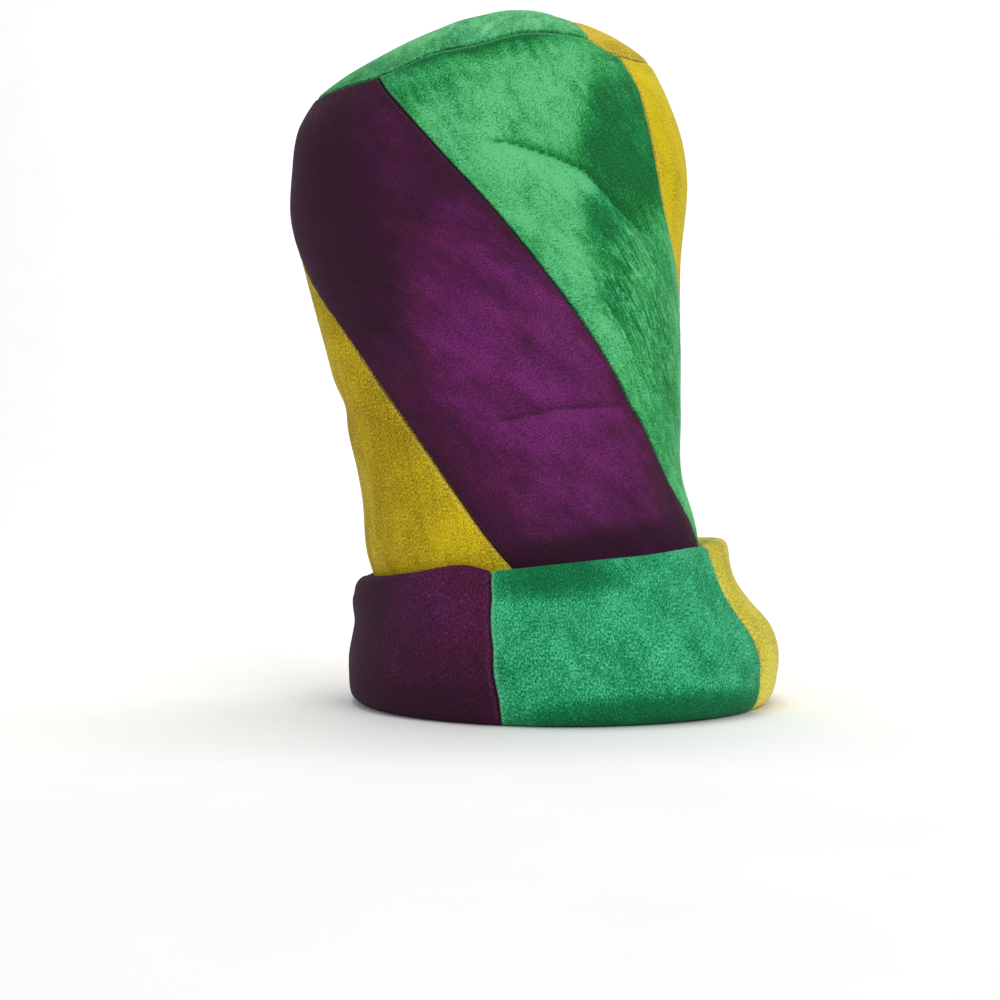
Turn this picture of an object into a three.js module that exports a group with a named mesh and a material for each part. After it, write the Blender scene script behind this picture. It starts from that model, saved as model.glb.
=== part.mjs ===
// A soft stovepipe hat of foam-backed velvet: spiral crown strips, a domed tip in two colours
// and a turned-up cuff. Millimetres, +Z up, the front faces -Y. The origin is the middle of the
// footprint, on the surface it rests on. An azimuth is an angle in degrees around the hat: 0 at
// the front, growing towards +X.

import * as THREE from 'three';
import { mergeVertices } from 'three/addons/utils/BufferGeometryUtils.js';

// Driving dimensions
const WALL = 3;             // one layer of foam-backed velvet
const SEAM_GAP = 0.5;       // clearance between two pieces that are sewn together
const SEAM_DIP = 1.4;       // how far the cloth sinks at a seam
const SEAM_REACH = 8;       // how far from a seam the cloth starts to sink
const TIP_SEAM = 328;       // height of the seam between crown and tip
const TIP_RISE = 32.5;      // middle of the tip above that seam
const TIP_ROUNDNESS = 2.15; // how full the tip is between its middle and the seam
const TIP_SKEW = 0.25;      // how much fuller the tip is towards +X
const WAVE_DEPTH = 70;      // how far down the crown the wave of that seam reaches
const CUFF_SHOULDER = 70;   // height where the cuff's side turns into its top fold
const FOLD_RISE = 7;        // top fold above the shoulder
const HEM_LOW = 42;         // lower end of the hem inside the cuff
const HEM_CLEARANCE = 0.8;  // between the hem and the crown
const FLAT_REACH = 3;       // how far the flat underside runs out past the crown

// Crown ovals from the lower edge up to the tip seam. Tilt raises the +X side: the crown leans to -X.
const CROWN_SECTIONS = [
  { height: 0, halfWidth: 92, halfDepth: 96, shift: 1, tilt: 0 },
  { height: 40, halfWidth: 90, halfDepth: 95, shift: -2.5, tilt: 1.5 },
  { height: 69, halfWidth: 87, halfDepth: 93, shift: -8, tilt: 4 },
  { height: 86, halfWidth: 87.5, halfDepth: 92, shift: -12, tilt: 4.5 },
  { height: 113, halfWidth: 85, halfDepth: 90, shift: -17.5, tilt: 4.5 },
  { height: 145, halfWidth: 88, halfDepth: 89, shift: -21, tilt: 4.5 },
  { height: 180, halfWidth: 93, halfDepth: 88, shift: -25.5, tilt: 4.6 },
  { height: 225, halfWidth: 99, halfDepth: 87, shift: -31.5, tilt: 4.7 },
  { height: 265, halfWidth: 105.5, halfDepth: 86, shift: -35, tilt: 4.8 },
  { height: 290, halfWidth: 103.5, halfDepth: 84, shift: -36.5, tilt: 4.9 },
  { height: 310, halfWidth: 98.5, halfDepth: 80, shift: -38.5, tilt: 5 },
  { height: TIP_SEAM, halfWidth: 90, halfDepth: 75, shift: -38, tilt: 5.1 },
];

// Ovals of the cuff's outer face, from the flat underside round the lower bulge to the shoulder.
const CUFF_SECTIONS = [
  { height: 0, halfWidth: 103, halfDepth: 106, shift: 3.2, tilt: 0 },
  { height: 1.5, halfWidth: 108.2, halfDepth: 111.2, shift: 3.3, tilt: 0 },
  { height: 5, halfWidth: 111.5, halfDepth: 114.5, shift: 3.6, tilt: 0 },
  { height: 12, halfWidth: 113, halfDepth: 116, shift: 4, tilt: 0 },
  { height: 26, halfWidth: 113.5, halfDepth: 116.5, shift: 4.4, tilt: 0.5 },
  { height: 38, halfWidth: 110.4, halfDepth: 114.5, shift: 3.3, tilt: 1 },
  { height: 48, halfWidth: 104.8, halfDepth: 111, shift: -1.1, tilt: 2 },
  { height: 57, halfWidth: 101.4, halfDepth: 108, shift: -5.3, tilt: 3 },
  { height: 64, halfWidth: 100, halfDepth: 106.2, shift: -6.9, tilt: 4 },
  { height: CUFF_SHOULDER, halfWidth: 99, halfDepth: 105, shift: -7, tilt: 5 },
];

// How the cuff's top edge waves up and down around the hat.
const CUFF_WAVE = [
  { azimuth: -90, lift: -4.5 },
  { azimuth: -42, lift: -1.5 },
  { azimuth: -23, lift: 0.8 },
  { azimuth: -13, lift: -2.2 },
  { azimuth: 5, lift: -2 },
  { azimuth: 45, lift: -1 },
  { azimuth: 85, lift: 1.5 },
  { azimuth: 150, lift: 0 },
  { azimuth: 220, lift: 0 },
  { azimuth: 270, lift: -4.5 },
];

// How the seam between crown and tip sags and rises around the hat.
const TIP_WAVE = [
  { azimuth: -90, lift: 0 },
  { azimuth: -60, lift: -4.5 },
  { azimuth: -30, lift: -5.2 },
  { azimuth: -15, lift: 0.2 },
  { azimuth: 0, lift: 2.3 },
  { azimuth: 13, lift: 6.2 },
  { azimuth: 26, lift: 6.2 },
  { azimuth: 37, lift: 3.8 },
  { azimuth: 48, lift: -2 },
  { azimuth: 62, lift: -3 },
  { azimuth: 80, lift: 0 },
  { azimuth: 270, lift: 0 },
];

// Azimuths of the crown's four spiral seams at several heights, named by the colours on each side.
const SPIRAL_SEAMS = [
  { height: 0, goldPurple: 24, purpleGreen: 112, greenGold: 171, goldGold: 282 },
  { height: 81, goldPurple: -10, purpleGreen: 77, greenGold: 135, goldGold: 246 },
  { height: 110, goldPurple: -21, purpleGreen: 63.5, greenGold: 122, goldGold: 233 },
  { height: 150, goldPurple: -37, purpleGreen: 43, greenGold: 103, goldGold: 213 },
  { height: 204, goldPurple: -60, purpleGreen: 20, greenGold: 84, goldGold: 188 },
  { height: 250, goldPurple: -90, purpleGreen: 1, greenGold: 60, goldGold: 165 },
  { height: 290, goldPurple: -108, purpleGreen: -16.5, greenGold: 55, goldGold: 153 },
  { height: 312, goldPurple: -116, purpleGreen: -25.5, greenGold: 56.5, goldGold: 148 },
  { height: TIP_SEAM, goldPurple: -122, purpleGreen: -34, greenGold: 52.5, goldGold: 145 },
];

// Creases and soft hollows of the crown. Each runs between two points; a depth below 0 is a valley.
const CROWN_FOLDS = [
  { fromAzimuth: 6, fromHeight: 281, toAzimuth: 50, toHeight: 234, width: 9, depth: -2.6 },
  { fromAzimuth: 8, fromHeight: 264, toAzimuth: 46, toHeight: 220, width: 12, depth: 1.6 },
  { fromAzimuth: 2, fromHeight: 147, toAzimuth: 44, toHeight: 148, width: 8, depth: -1.4 },
  { fromAzimuth: -88, fromHeight: 163, toAzimuth: -72, toHeight: 159, width: 10, depth: -2.4 },
  { fromAzimuth: -12, fromHeight: 310, toAzimuth: 30, toHeight: 315, width: 10, depth: -2 },
];
const FOLD_GIRTH = 95;      // radius at which the folds' lengths around the crown are measured

const CUFF_TOP = CUFF_SHOULDER + FOLD_RISE;

const COLOURS = { purple: 0x55195a, green: 0x1f8f4a, gold: 0xc9ab1c };
const VELVET = { roughness: 0.75, metalness: 0 };

// A strip lies between two spiral seams. The last one passes the start of the turn.
const CROWN_STRIPS = [
  { name: 'crown_strip_purple', colour: COLOURS.purple, left: 'goldPurple', right: 'purpleGreen', turn: 0 },
  { name: 'crown_strip_green', colour: COLOURS.green, left: 'purpleGreen', right: 'greenGold', turn: 0 },
  { name: 'crown_strip_gold_right', colour: COLOURS.gold, left: 'greenGold', right: 'goldGold', turn: 0 },
  { name: 'crown_strip_gold_left', colour: COLOURS.gold, left: 'goldGold', right: 'goldPurple', turn: 360 },
];

// The seam across the tip runs straight between two points of its rim.
const TIP_PIECES = [
  { name: 'tip_gold', colour: COLOURS.gold, fromAzimuth: 38, toAzimuth: 160, rows: 6 },
  { name: 'tip_green', colour: COLOURS.green, fromAzimuth: 160, toAzimuth: 398, rows: 8 },
];

// Azimuths of the cuff's three seams at several heights, named by the colours on each side.
const CUFF_SEAMS = [
  { height: 0, purpleGreen: -15, greenGold: 62.5, goldPurple: 200 },
  { height: 12, purpleGreen: -15.7, greenGold: 62, goldPurple: 200 },
  { height: 26, purpleGreen: -17.2, greenGold: 61, goldPurple: 200 },
  { height: 40, purpleGreen: -17.2, greenGold: 60, goldPurple: 200 },
  { height: 52, purpleGreen: -15.7, greenGold: 62.5, goldPurple: 200 },
  { height: 62, purpleGreen: -13.5, greenGold: 63.5, goldPurple: 200 },
  { height: CUFF_SHOULDER, purpleGreen: -13.8, greenGold: 60.5, goldPurple: 200 },
];
const CUFF_BLOCKS = [
  { name: 'cuff_purple', colour: COLOURS.purple, left: 'goldPurple', right: 'purpleGreen', turn: 360 },
  { name: 'cuff_green', colour: COLOURS.green, left: 'purpleGreen', right: 'greenGold', turn: 0 },
  { name: 'cuff_gold', colour: COLOURS.gold, left: 'greenGold', right: 'goldPurple', turn: 0 },
];
const CUFF_COLUMN = 6.5;    // degrees of the cuff between two columns of its grid

// Grid of a strip: even columns between two narrow ones at the seams, few rows where the cuff hides it.
const STRIP_COLUMNS = 8;
const SEAM_COLUMN = 0.05;
const HIDDEN_ROWS = 5;
const SHOWN_ROWS = 22;
const FOLD_STEPS = 6;
const DIFFERENCE = 0.5;

const radians = THREE.MathUtils.degToRad;
const lerp = THREE.MathUtils.lerp;
const steps = (count) => Array.from({ length: count + 1 }, (_, i) => i / count);

const STRIP_FRACTIONS = [0, ...steps(STRIP_COLUMNS).map((t) => lerp(SEAM_COLUMN, 1 - SEAM_COLUMN, t)), 1];

// Returns a function that reads a table's columns at any value of its key, smoothly between the rows.
function smoothTable(rows, key) {
  const columns = Object.keys(rows[0]).filter((column) => column !== key);
  const positions = Float64Array.from(rows, (row) => row[key]);
  const samples = Float64Array.from(rows.flatMap((row) => columns.map((column) => row[column])));
  const result = new Float64Array(columns.length);
  const curve = new THREE.CubicInterpolant(positions, samples, columns.length, result);
  return (at) => {
    const values = curve.evaluate(at);
    return Object.fromEntries(columns.map((column, i) => [column, values[i]]));
  };
}

const crownSection = smoothTable(CROWN_SECTIONS, 'height');
const spiralSeams = smoothTable(SPIRAL_SEAMS, 'height');
const cuffSeams = smoothTable(CUFF_SEAMS, 'height');
const cuffWave = smoothTable(CUFF_WAVE, 'azimuth');
const tipWave = smoothTable(TIP_WAVE, 'azimuth');

// Brings an azimuth into the turn that the wave tables cover.
function inTurn(azimuth) {
  return THREE.MathUtils.euclideanModulo(azimuth + 90, 360) - 90;
}

// Point of an oval section, moved outwards by grow.
function ovalPoint(section, azimuth, height, grow = 0) {
  const angle = radians(azimuth);
  const across = (section.halfWidth + grow) * Math.sin(angle);
  const depth = (section.halfDepth + grow) * Math.cos(angle);
  const rise = across * Math.tan(radians(section.tilt));
  return new THREE.Vector3(section.shift + across, -depth, height + rise);
}

// Point of the crown's outer face. The wave of the tip seam fades out down the crown.
function crownPoint(azimuth, height) {
  const fade = THREE.MathUtils.smoothstep(height, TIP_SEAM - WAVE_DEPTH, TIP_SEAM);
  const { lift } = tipWave(inTurn(azimuth));
  return ovalPoint(crownSection(height), azimuth, height + lift * fade);
}

// Point of the domed tip. reach is 0 in the middle and 1 at the rim.
function tipPoint(azimuth, reach) {
  const rim = crownSection(TIP_SEAM);
  const cap = TIP_RISE * (1 - reach ** TIP_ROUNDNESS);
  const dome = cap * (1 + TIP_SKEW * reach * Math.sin(radians(azimuth)));
  const { lift } = tipWave(inTurn(azimuth));
  const middle = new THREE.Vector3(rim.shift, 0, TIP_SEAM);
  const point = ovalPoint(rim, azimuth, TIP_SEAM).sub(middle).multiplyScalar(reach).add(middle);
  return point.setZ(point.z + dome + lift * reach ** 2);
}

// Outward normal of a surface from the points on either side.
function normalBetween(left, right, low, high) {
  return right.sub(left).cross(high.sub(low)).normalize();
}

function crownNormal(azimuth, height) {
  const h = Math.min(height, TIP_SEAM - DIFFERENCE);
  return normalBetween(
    crownPoint(azimuth - DIFFERENCE, h), crownPoint(azimuth + DIFFERENCE, h),
    crownPoint(azimuth, h - DIFFERENCE), crownPoint(azimuth, h + DIFFERENCE));
}

function tipNormal(azimuth, reach) {
  const step = DIFFERENCE / TIP_SEAM;
  const r = Math.max(reach, 2 * step);
  return normalBetween(
    tipPoint(azimuth - DIFFERENCE, r), tipPoint(azimuth + DIFFERENCE, r),
    tipPoint(azimuth, r + step), tipPoint(azimuth, r - step));
}

// Normal half-way between crown and tip, where they meet.
function tipSeamNormal(azimuth) {
  return tipNormal(azimuth, 1).add(crownNormal(azimuth, TIP_SEAM)).normalize();
}

// How far the crown's folds push the cloth out of its smooth form.
function foldRelief(azimuth, height) {
  const place = (a, h) => new THREE.Vector3(radians(a) * FOLD_GIRTH, h, 0);
  const point = place(inTurn(azimuth), height);
  return CROWN_FOLDS.reduce((relief, fold) => {
    const start = place(fold.fromAzimuth, fold.fromHeight);
    const line = new THREE.Line3(start, place(fold.toAzimuth, fold.toHeight));
    const distance = line.closestPointToPoint(point, true, new THREE.Vector3()).distanceTo(point);
    return relief + fold.depth * Math.exp(-((distance / fold.width) ** 2));
  }, 0);
}

// How far the cloth sinks at a distance from a seam.
function seamSink(distance) {
  return SEAM_DIP * (1 - THREE.MathUtils.smoothstep(distance, 0, SEAM_REACH));
}

// Closes an outer and an inner grid of points, [row][column], into one solid wall.
function wallGeometry(outer, inner) {
  const rows = outer.length - 1;
  const columns = outer[0].length - 1;
  const layer = (rows + 1) * (columns + 1);
  const out = (row, column) => row * (columns + 1) + column;
  const back = (row, column) => layer + out(row, column);
  const triangles = [];
  const quad = (a, b, c, d) => triangles.push([a, b, c], [a, c, d]);
  for (let r = 0; r < rows; r++) {
    for (let c = 0; c < columns; c++) {
      quad(out(r, c), out(r, c + 1), out(r + 1, c + 1), out(r + 1, c));
      quad(back(r, c), back(r + 1, c), back(r + 1, c + 1), back(r, c + 1));
    }
    quad(out(r, 0), out(r + 1, 0), back(r + 1, 0), back(r, 0));
    quad(out(r, columns), back(r, columns), back(r + 1, columns), out(r + 1, columns));
  }
  for (let c = 0; c < columns; c++) {
    quad(out(0, c), back(0, c), back(0, c + 1), out(0, c + 1));
    quad(out(rows, c), out(rows, c + 1), back(rows, c + 1), back(rows, c));
  }
  const points = [...outer.flat(), ...inner.flat()];
  const loose = new THREE.BufferGeometry().setFromPoints(points).setIndex(triangles.flat());
  const merged = mergeVertices(loose);
  const corner = (triangle, i) => merged.index.getX(3 * triangle + i);
  const kept = triangles
    .map((_, t) => [corner(t, 0), corner(t, 1), corner(t, 2)])
    .filter(([a, b, c]) => a !== b && b !== c && c !== a);
  return merged.setIndex(kept.flat());
}

function velvetMesh(name, colour, geometry) {
  geometry.computeVertexNormals();
  const mesh = new THREE.Mesh(geometry, new THREE.MeshStandardMaterial({ color: colour, ...VELVET }));
  mesh.name = name;
  return mesh;
}

// Azimuths of the two seams that a piece lies between.
function edgesOf({ left, right, turn }, seams) {
  return [seams[left], seams[right] + turn];
}

// Azimuths of the strips' columns where they meet the tip, over three turns.
const RIM_COLUMNS = [-360, 0, 360].flatMap((turn) => CROWN_STRIPS.flatMap((strip) => {
  const [left, right] = edgesOf(strip, spiralSeams(TIP_SEAM));
  return STRIP_FRACTIONS.slice(1).map((fraction) => turn + lerp(left, right, fraction));
}));

function nearestRimColumn(azimuth) {
  const distance = (column) => Math.abs(column - azimuth);
  return RIM_COLUMNS.reduce((best, column) => (distance(column) < distance(best) ? column : best));
}

// Spiral strip of the crown, from its level lower edge inside the cuff up to the tip seam.
function crownStrip(strip) {
  const lowEdge = WALL + SEAM_GAP;
  const heights = [
    ...steps(HIDDEN_ROWS).map((t) => lerp(lowEdge, CUFF_TOP, t)),
    ...steps(SHOWN_ROWS).slice(1).map((t) => lerp(CUFF_TOP, TIP_SEAM - SEAM_REACH, t)),
    TIP_SEAM - SEAM_REACH / 3,
    TIP_SEAM - SEAM_GAP / 2,
  ];
  const outer = [];
  const inner = [];
  for (const height of heights) {
    const girth = crownSection(height).halfWidth;
    const edgeGap = THREE.MathUtils.radToDeg(SEAM_GAP / 2 / girth);
    const [left, right] = edgesOf(strip, spiralSeams(height));
    const width = radians(right - left) * girth;
    const level = height === lowEdge;
    const atTip = height > TIP_SEAM - SEAM_GAP;
    const row = STRIP_FRACTIONS.map((fraction) => {
      const azimuth = lerp(left + edgeGap, right - edgeGap, fraction);
      const normal = atTip ? tipSeamNormal(azimuth) : crownNormal(azimuth, height);
      if (level) {
        normal.setZ(0).normalize();
      }
      const toSide = width * Math.min(fraction, 1 - fraction);
      const relief = foldRelief(azimuth, height) - seamSink(Math.min(toSide, TIP_SEAM - height));
      const point = crownPoint(azimuth, height).addScaledVector(normal, relief);
      return { point, within: point.clone().addScaledVector(normal, -WALL) };
    });
    outer.push(row.map(({ point }) => point));
    inner.push(row.map(({ within }) => within));
  }
  return velvetMesh(strip.name, strip.colour, wallGeometry(outer, inner));
}

// Part of the domed tip between the straight seam across it and the rim.
function tipPiece({ name, colour, fromAzimuth, toAzimuth, rows }) {
  const onDisc = (azimuth) => new THREE.Vector2(Math.sin(radians(azimuth)), -Math.cos(radians(azimuth)));
  const rimReach = 1 - SEAM_GAP / 2 / crownSection(TIP_SEAM).halfWidth;
  const edgeGap = THREE.MathUtils.radToDeg(1 - rimReach);
  const start = nearestRimColumn(fromAzimuth) + edgeGap;
  const end = nearestRimColumn(toAzimuth) - edgeGap;
  const rimAzimuths = [start, ...RIM_COLUMNS.filter((azimuth) => azimuth > start && azimuth < end), end];
  const outer = [];
  const inner = [];
  for (const row of steps(rows).reverse()) {
    const points = rimAzimuths.map((rimAzimuth) => {
      const along = (rimAzimuth - start) / (end - start);
      const seamPoint = onDisc(start).lerp(onDisc(end), along);
      const place = seamPoint.lerp(onDisc(rimAzimuth), row).multiplyScalar(rimReach);
      const azimuth = THREE.MathUtils.radToDeg(Math.atan2(place.x, -place.y));
      const atRim = place.length() > rimReach - 1e-6;
      const normal = atRim ? tipSeamNormal(azimuth) : tipNormal(azimuth, place.length());
      const fromRim = (1 - place.length()) * crownSection(TIP_SEAM).halfWidth;
      const point = tipPoint(azimuth, place.length()).addScaledVector(normal, -seamSink(fromRim));
      return { point, within: point.clone().addScaledVector(normal, -WALL) };
    });
    outer.push(points.map(({ point }) => point));
    inner.push(points.map(({ within }) => within));
  }
  return velvetMesh(name, colour, wallGeometry(outer, inner));
}

// Outer face of the cuff along one line of the cloth: the underside, the side, the top fold and
// down the hem. azimuthAt gives the line's azimuth at a height up to the shoulder.
function cuffPath(azimuthAt) {
  const low = azimuthAt(0);
  const high = azimuthAt(CUFF_SHOULDER);
  const { lift } = cuffWave(inTurn(high));
  const lowCrown = crownSection(0);
  const path = [ovalPoint(lowCrown, low, 0, -WALL), ovalPoint(lowCrown, low, 0, FLAT_REACH)];
  for (const section of CUFF_SECTIONS) {
    const raised = section.height + lift * (section.height / CUFF_SHOULDER) ** 2;
    path.push(ovalPoint(section, azimuthAt(section.height), raised));
  }
  const hemPoint = (height) => ovalPoint(crownSection(height), high, height, HEM_CLEARANCE);
  const middle = path.at(-1).clone().lerp(hemPoint(CUFF_SHOULDER + lift), 0.5);
  const half = path.at(-1).clone().sub(middle);
  for (const t of steps(FOLD_STEPS).slice(1)) {
    const turn = Math.PI * t;
    const fold = new THREE.Vector3(0, 0, FOLD_RISE * Math.sin(turn));
    path.push(fold.add(middle).addScaledVector(half, Math.cos(turn)));
  }
  path.push(hemPoint(lerp(CUFF_SHOULDER, HEM_LOW, 0.5)), hemPoint(HEM_LOW));
  return path;
}

// Block of the cuff between two of its seams, one folded layer of cloth.
function cuffBlock(block) {
  const girth = CUFF_SECTIONS.at(-1).halfWidth;
  const edgeGap = THREE.MathUtils.radToDeg(SEAM_GAP / 2 / girth);
  const [from, to] = edgesOf(block, cuffSeams(0));
  const width = radians(to - from) * girth;
  const columnPoints = steps(Math.ceil((to - from) / CUFF_COLUMN)).map((t) => {
    const pathAside = (degrees) => cuffPath((height) => {
      const [left, right] = edgesOf(block, cuffSeams(height));
      return degrees + lerp(left + edgeGap, right - edgeGap, t);
    });
    const path = pathAside(0);
    const before = pathAside(-DIFFERENCE);
    const after = pathAside(DIFFERENCE);
    const sink = seamSink(width * Math.min(t, 1 - t));
    return path.map((point, i) => {
      const low = path[Math.max(i - 1, 0)].clone();
      const high = path[Math.min(i + 1, path.length - 1)].clone();
      const normal = normalBetween(before[i], after[i], low, high);
      const sunk = point.clone().addScaledVector(normal, point.z > 0 ? -sink : 0);
      return { point: sunk, within: sunk.clone().addScaledVector(normal, -WALL) };
    });
  });
  const rows = columnPoints[0].map((_, i) => i);
  const outer = rows.map((i) => columnPoints.map((column) => column[i].point));
  const inner = rows.map((i) => columnPoints.map((column) => column[i].within));
  return velvetMesh(block.name, block.colour, wallGeometry(outer, inner));
}

const hat = new THREE.Group();
CROWN_STRIPS.forEach((strip) => hat.add(crownStrip(strip)));
TIP_PIECES.forEach((piece) => hat.add(tipPiece(piece)));
CUFF_BLOCKS.forEach((block) => hat.add(cuffBlock(block)));

// The origin goes to the middle of the footprint.
const bounds = new THREE.Box3().setFromObject(hat);
const centre = bounds.getCenter(new THREE.Vector3());
hat.position.set(-centre.x, -centre.y, -bounds.min.z);

export default hat;
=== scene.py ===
"""Looks of a soft stovepipe hat in crushed velvet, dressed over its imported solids.

The cloth follows the same ovals, seams and folds as the solids, on a much finer grid. Sizes are in
millimetres until a piece becomes a mesh, which is in metres. An azimuth is an angle in degrees around the
hat: 0 at the front, growing towards +X.
"""

import logging
import math
from abc import ABC, abstractmethod
from dataclasses import dataclass, fields
from enum import Enum
from typing import ClassVar

import bpy
import numpy as np
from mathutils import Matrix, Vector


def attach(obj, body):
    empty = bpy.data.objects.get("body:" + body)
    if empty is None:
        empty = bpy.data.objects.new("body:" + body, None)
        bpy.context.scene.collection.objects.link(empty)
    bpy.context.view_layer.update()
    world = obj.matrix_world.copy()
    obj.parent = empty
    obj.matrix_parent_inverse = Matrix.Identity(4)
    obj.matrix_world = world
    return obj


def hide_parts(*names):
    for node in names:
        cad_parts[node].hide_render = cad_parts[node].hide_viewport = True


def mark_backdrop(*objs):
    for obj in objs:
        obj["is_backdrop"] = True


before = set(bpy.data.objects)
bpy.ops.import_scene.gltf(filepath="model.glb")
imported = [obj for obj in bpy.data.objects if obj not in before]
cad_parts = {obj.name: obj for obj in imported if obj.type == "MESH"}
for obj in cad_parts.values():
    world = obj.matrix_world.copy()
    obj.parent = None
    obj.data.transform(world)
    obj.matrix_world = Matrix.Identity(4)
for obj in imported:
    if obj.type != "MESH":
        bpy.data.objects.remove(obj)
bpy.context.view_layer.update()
log = logging.getLogger("stovepipe_hat")

MM = 0.001
WALL = 3.0              # one layer of foam-backed velvet
SEAM_GAP = 0.16         # between two sewn pieces
TIP_SEAM = 328.0        # height of the seam between crown and tip
CUFF_SHOULDER = 70.0    # height where the cuff's side turns into its top fold
FOLD_GIRTH = 95.0       # radius at which lengths around the crown are measured
CELL = 1.6              # side of an even cell in a grid of cloth
FINEST_CELL = 0.15      # side of a cell at a seam
CELL_GROWTH = 1.4       # from one cell to the next, away from a seam
SHORTEST = 1e-9         # keeps a vector without length from being divided by 0
PIECES_MIDDLE = (11.51, -0.04)   # moves the middle of the footprint to the origin


# Tables of the form


@dataclass(frozen=True)
class Oval:
    """One oval of the hat. A tilt raises its +X side."""

    height: float
    half_width: float
    half_depth: float
    shift: float
    tilt: float


@dataclass(frozen=True)
class Wave:
    """How far an edge is lifted at an azimuth."""

    azimuth: float
    lift: float


@dataclass(frozen=True)
class SpiralSeams:
    """Azimuths of the crown's four spiral seams at a height, named by the colours on each side."""

    height: float
    gold_purple: float
    purple_green: float
    green_gold: float
    gold_gold: float


@dataclass(frozen=True)
class CuffSeams:
    """Azimuths of the cuff's three seams at a height, named by the colours on each side."""

    height: float
    purple_green: float
    green_gold: float
    gold_purple: float


class SmoothTable:
    """Reads the columns of a table at any value of its first column, smoothly between the rows."""

    def __init__(self, rows: list) -> None:
        """Keeps the columns of a table.

        Args:
            rows: dataclass rows of one kind, in growing order of their first field.
        """
        key, *names = (column.name for column in fields(rows[0]))
        self.key = self.values(rows, key)
        self.columns = {name: self.values(rows, name) for name in names}

    @staticmethod
    def values(rows: list, name: str) -> np.ndarray:
        """One field of all the rows."""
        return np.array([getattr(row, name) for row in rows], dtype=float)

    def read(self, column: str, at: np.ndarray) -> np.ndarray:
        """Reads one column.

        Args:
            column: name of the column.
            at: values of the key, held inside the table's range.

        Returns:
            The column's value at each of them.
        """
        value = self.columns[column]
        chord = np.diff(value) / np.diff(self.key)
        slope = np.concatenate([chord[:1], (chord[:-1] + chord[1:]) / 2, chord[-1:]])
        place = np.clip(at, self.key[0], self.key[-1])
        i = np.clip(np.searchsorted(self.key, place, side="right") - 1, 0, len(self.key) - 2)
        step = self.key[i + 1] - self.key[i]
        p = (place - self.key[i]) / step
        return curve(p, value[i], value[i + 1], step * slope[i], step * slope[i + 1])


CROWN_OVALS = SmoothTable([
    Oval(0, 92, 96, 1, 0),
    Oval(40, 90, 95, -2.5, 1.5),
    Oval(69, 87, 93, -8, 4),
    Oval(86, 87.5, 92, -12, 4.5),
    Oval(113, 85, 90, -17.5, 4.5),
    Oval(145, 88, 89, -21, 4.5),
    Oval(180, 93, 88, -25.5, 4.6),
    Oval(225, 99, 87, -31.5, 4.7),
    Oval(265, 105.5, 86, -35, 4.8),
    Oval(290, 103.5, 84, -36.5, 4.9),
    Oval(310, 98.5, 80, -38.5, 5),
    Oval(TIP_SEAM, 90, 75, -38, 5.1),
])

CUFF_OVALS = [
    Oval(0, 103, 106, 3.2, 0),
    Oval(1.5, 108.2, 111.2, 3.3, 0),
    Oval(5, 111.5, 114.5, 3.6, 0),
    Oval(12, 113, 116, 4, 0),
    Oval(26, 113.5, 116.5, 4.4, 0.5),
    Oval(38, 110.4, 114.5, 3.3, 1),
    Oval(48, 104.8, 111, -1.1, 2),
    Oval(57, 101.4, 108, -5.3, 3),
    Oval(64, 100, 106.2, -6.9, 4),
    Oval(CUFF_SHOULDER, 99, 105, -7, 5),
]

CUFF_WAVE = SmoothTable([
    Wave(-90, -4.5),
    Wave(-42, -1.5),
    Wave(-23, 0.8),
    Wave(-13, -2.2),
    Wave(5, -2),
    Wave(45, -1),
    Wave(85, 1.5),
    Wave(150, 0),
    Wave(220, 0),
    Wave(270, -4.5),
])

TIP_WAVE = SmoothTable([
    Wave(-90, 0),
    Wave(-60, -4.5),
    Wave(-30, -5.2),
    Wave(-15, 0.2),
    Wave(0, 2.3),
    Wave(13, 6.2),
    Wave(26, 6.2),
    Wave(37, 3.8),
    Wave(48, -2),
    Wave(62, -3),
    Wave(80, 0),
    Wave(270, 0),
])

SPIRAL_SEAMS = SmoothTable([
    SpiralSeams(0, 24, 112, 171, 282),
    SpiralSeams(81, -10, 77, 135, 246),
    SpiralSeams(110, -21, 63.5, 122, 233),
    SpiralSeams(150, -37, 43, 103, 213),
    SpiralSeams(204, -60, 20, 84, 188),
    SpiralSeams(250, -90, 1, 60, 165),
    SpiralSeams(290, -108, -16.5, 55, 153),
    SpiralSeams(312, -116, -25.5, 56.5, 148),
    SpiralSeams(TIP_SEAM, -122, -34, 52.5, 145),
])

CUFF_SEAMS = SmoothTable([
    CuffSeams(0, -15, 62.5, 200),
    CuffSeams(12, -15.7, 62, 200),
    CuffSeams(26, -17.2, 61, 200),
    CuffSeams(40, -17.2, 60, 200),
    CuffSeams(52, -15.7, 62.5, 200),
    CuffSeams(62, -13.5, 63.5, 200),
    CuffSeams(CUFF_SHOULDER, -13.8, 60.5, 200),
])


# Small helpers on arrays


def smooth(low: float, high: float, value: np.ndarray) -> np.ndarray:
    """Rises smoothly from 0 at low to 1 at high."""
    p = np.clip((value - low) / (high - low), 0, 1)
    return p * p * (3 - 2 * p)


def curve(p: np.ndarray, start: np.ndarray, end: np.ndarray, leave: np.ndarray,
          arrive: np.ndarray) -> np.ndarray:
    """Goes smoothly from one value to another.

    Args:
        p: shares of the way, from 0 to 1.
        start: the value at 0.
        end: the value at 1.
        leave: the slope at 0, over the whole way.
        arrive: the slope at 1, over the whole way.

    Returns:
        The value at each share.
    """
    from_start = (2 * p**3 - 3 * p**2 + 1) * start + (p**3 - 2 * p**2 + p) * leave
    to_end = (3 * p**2 - 2 * p**3) * end + (p**3 - p**2) * arrive
    return from_start + to_end


def in_turn(azimuth: np.ndarray) -> np.ndarray:
    """Brings azimuths into the turn from -90 to 270."""
    return np.mod(azimuth + 90, 360) - 90


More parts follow.
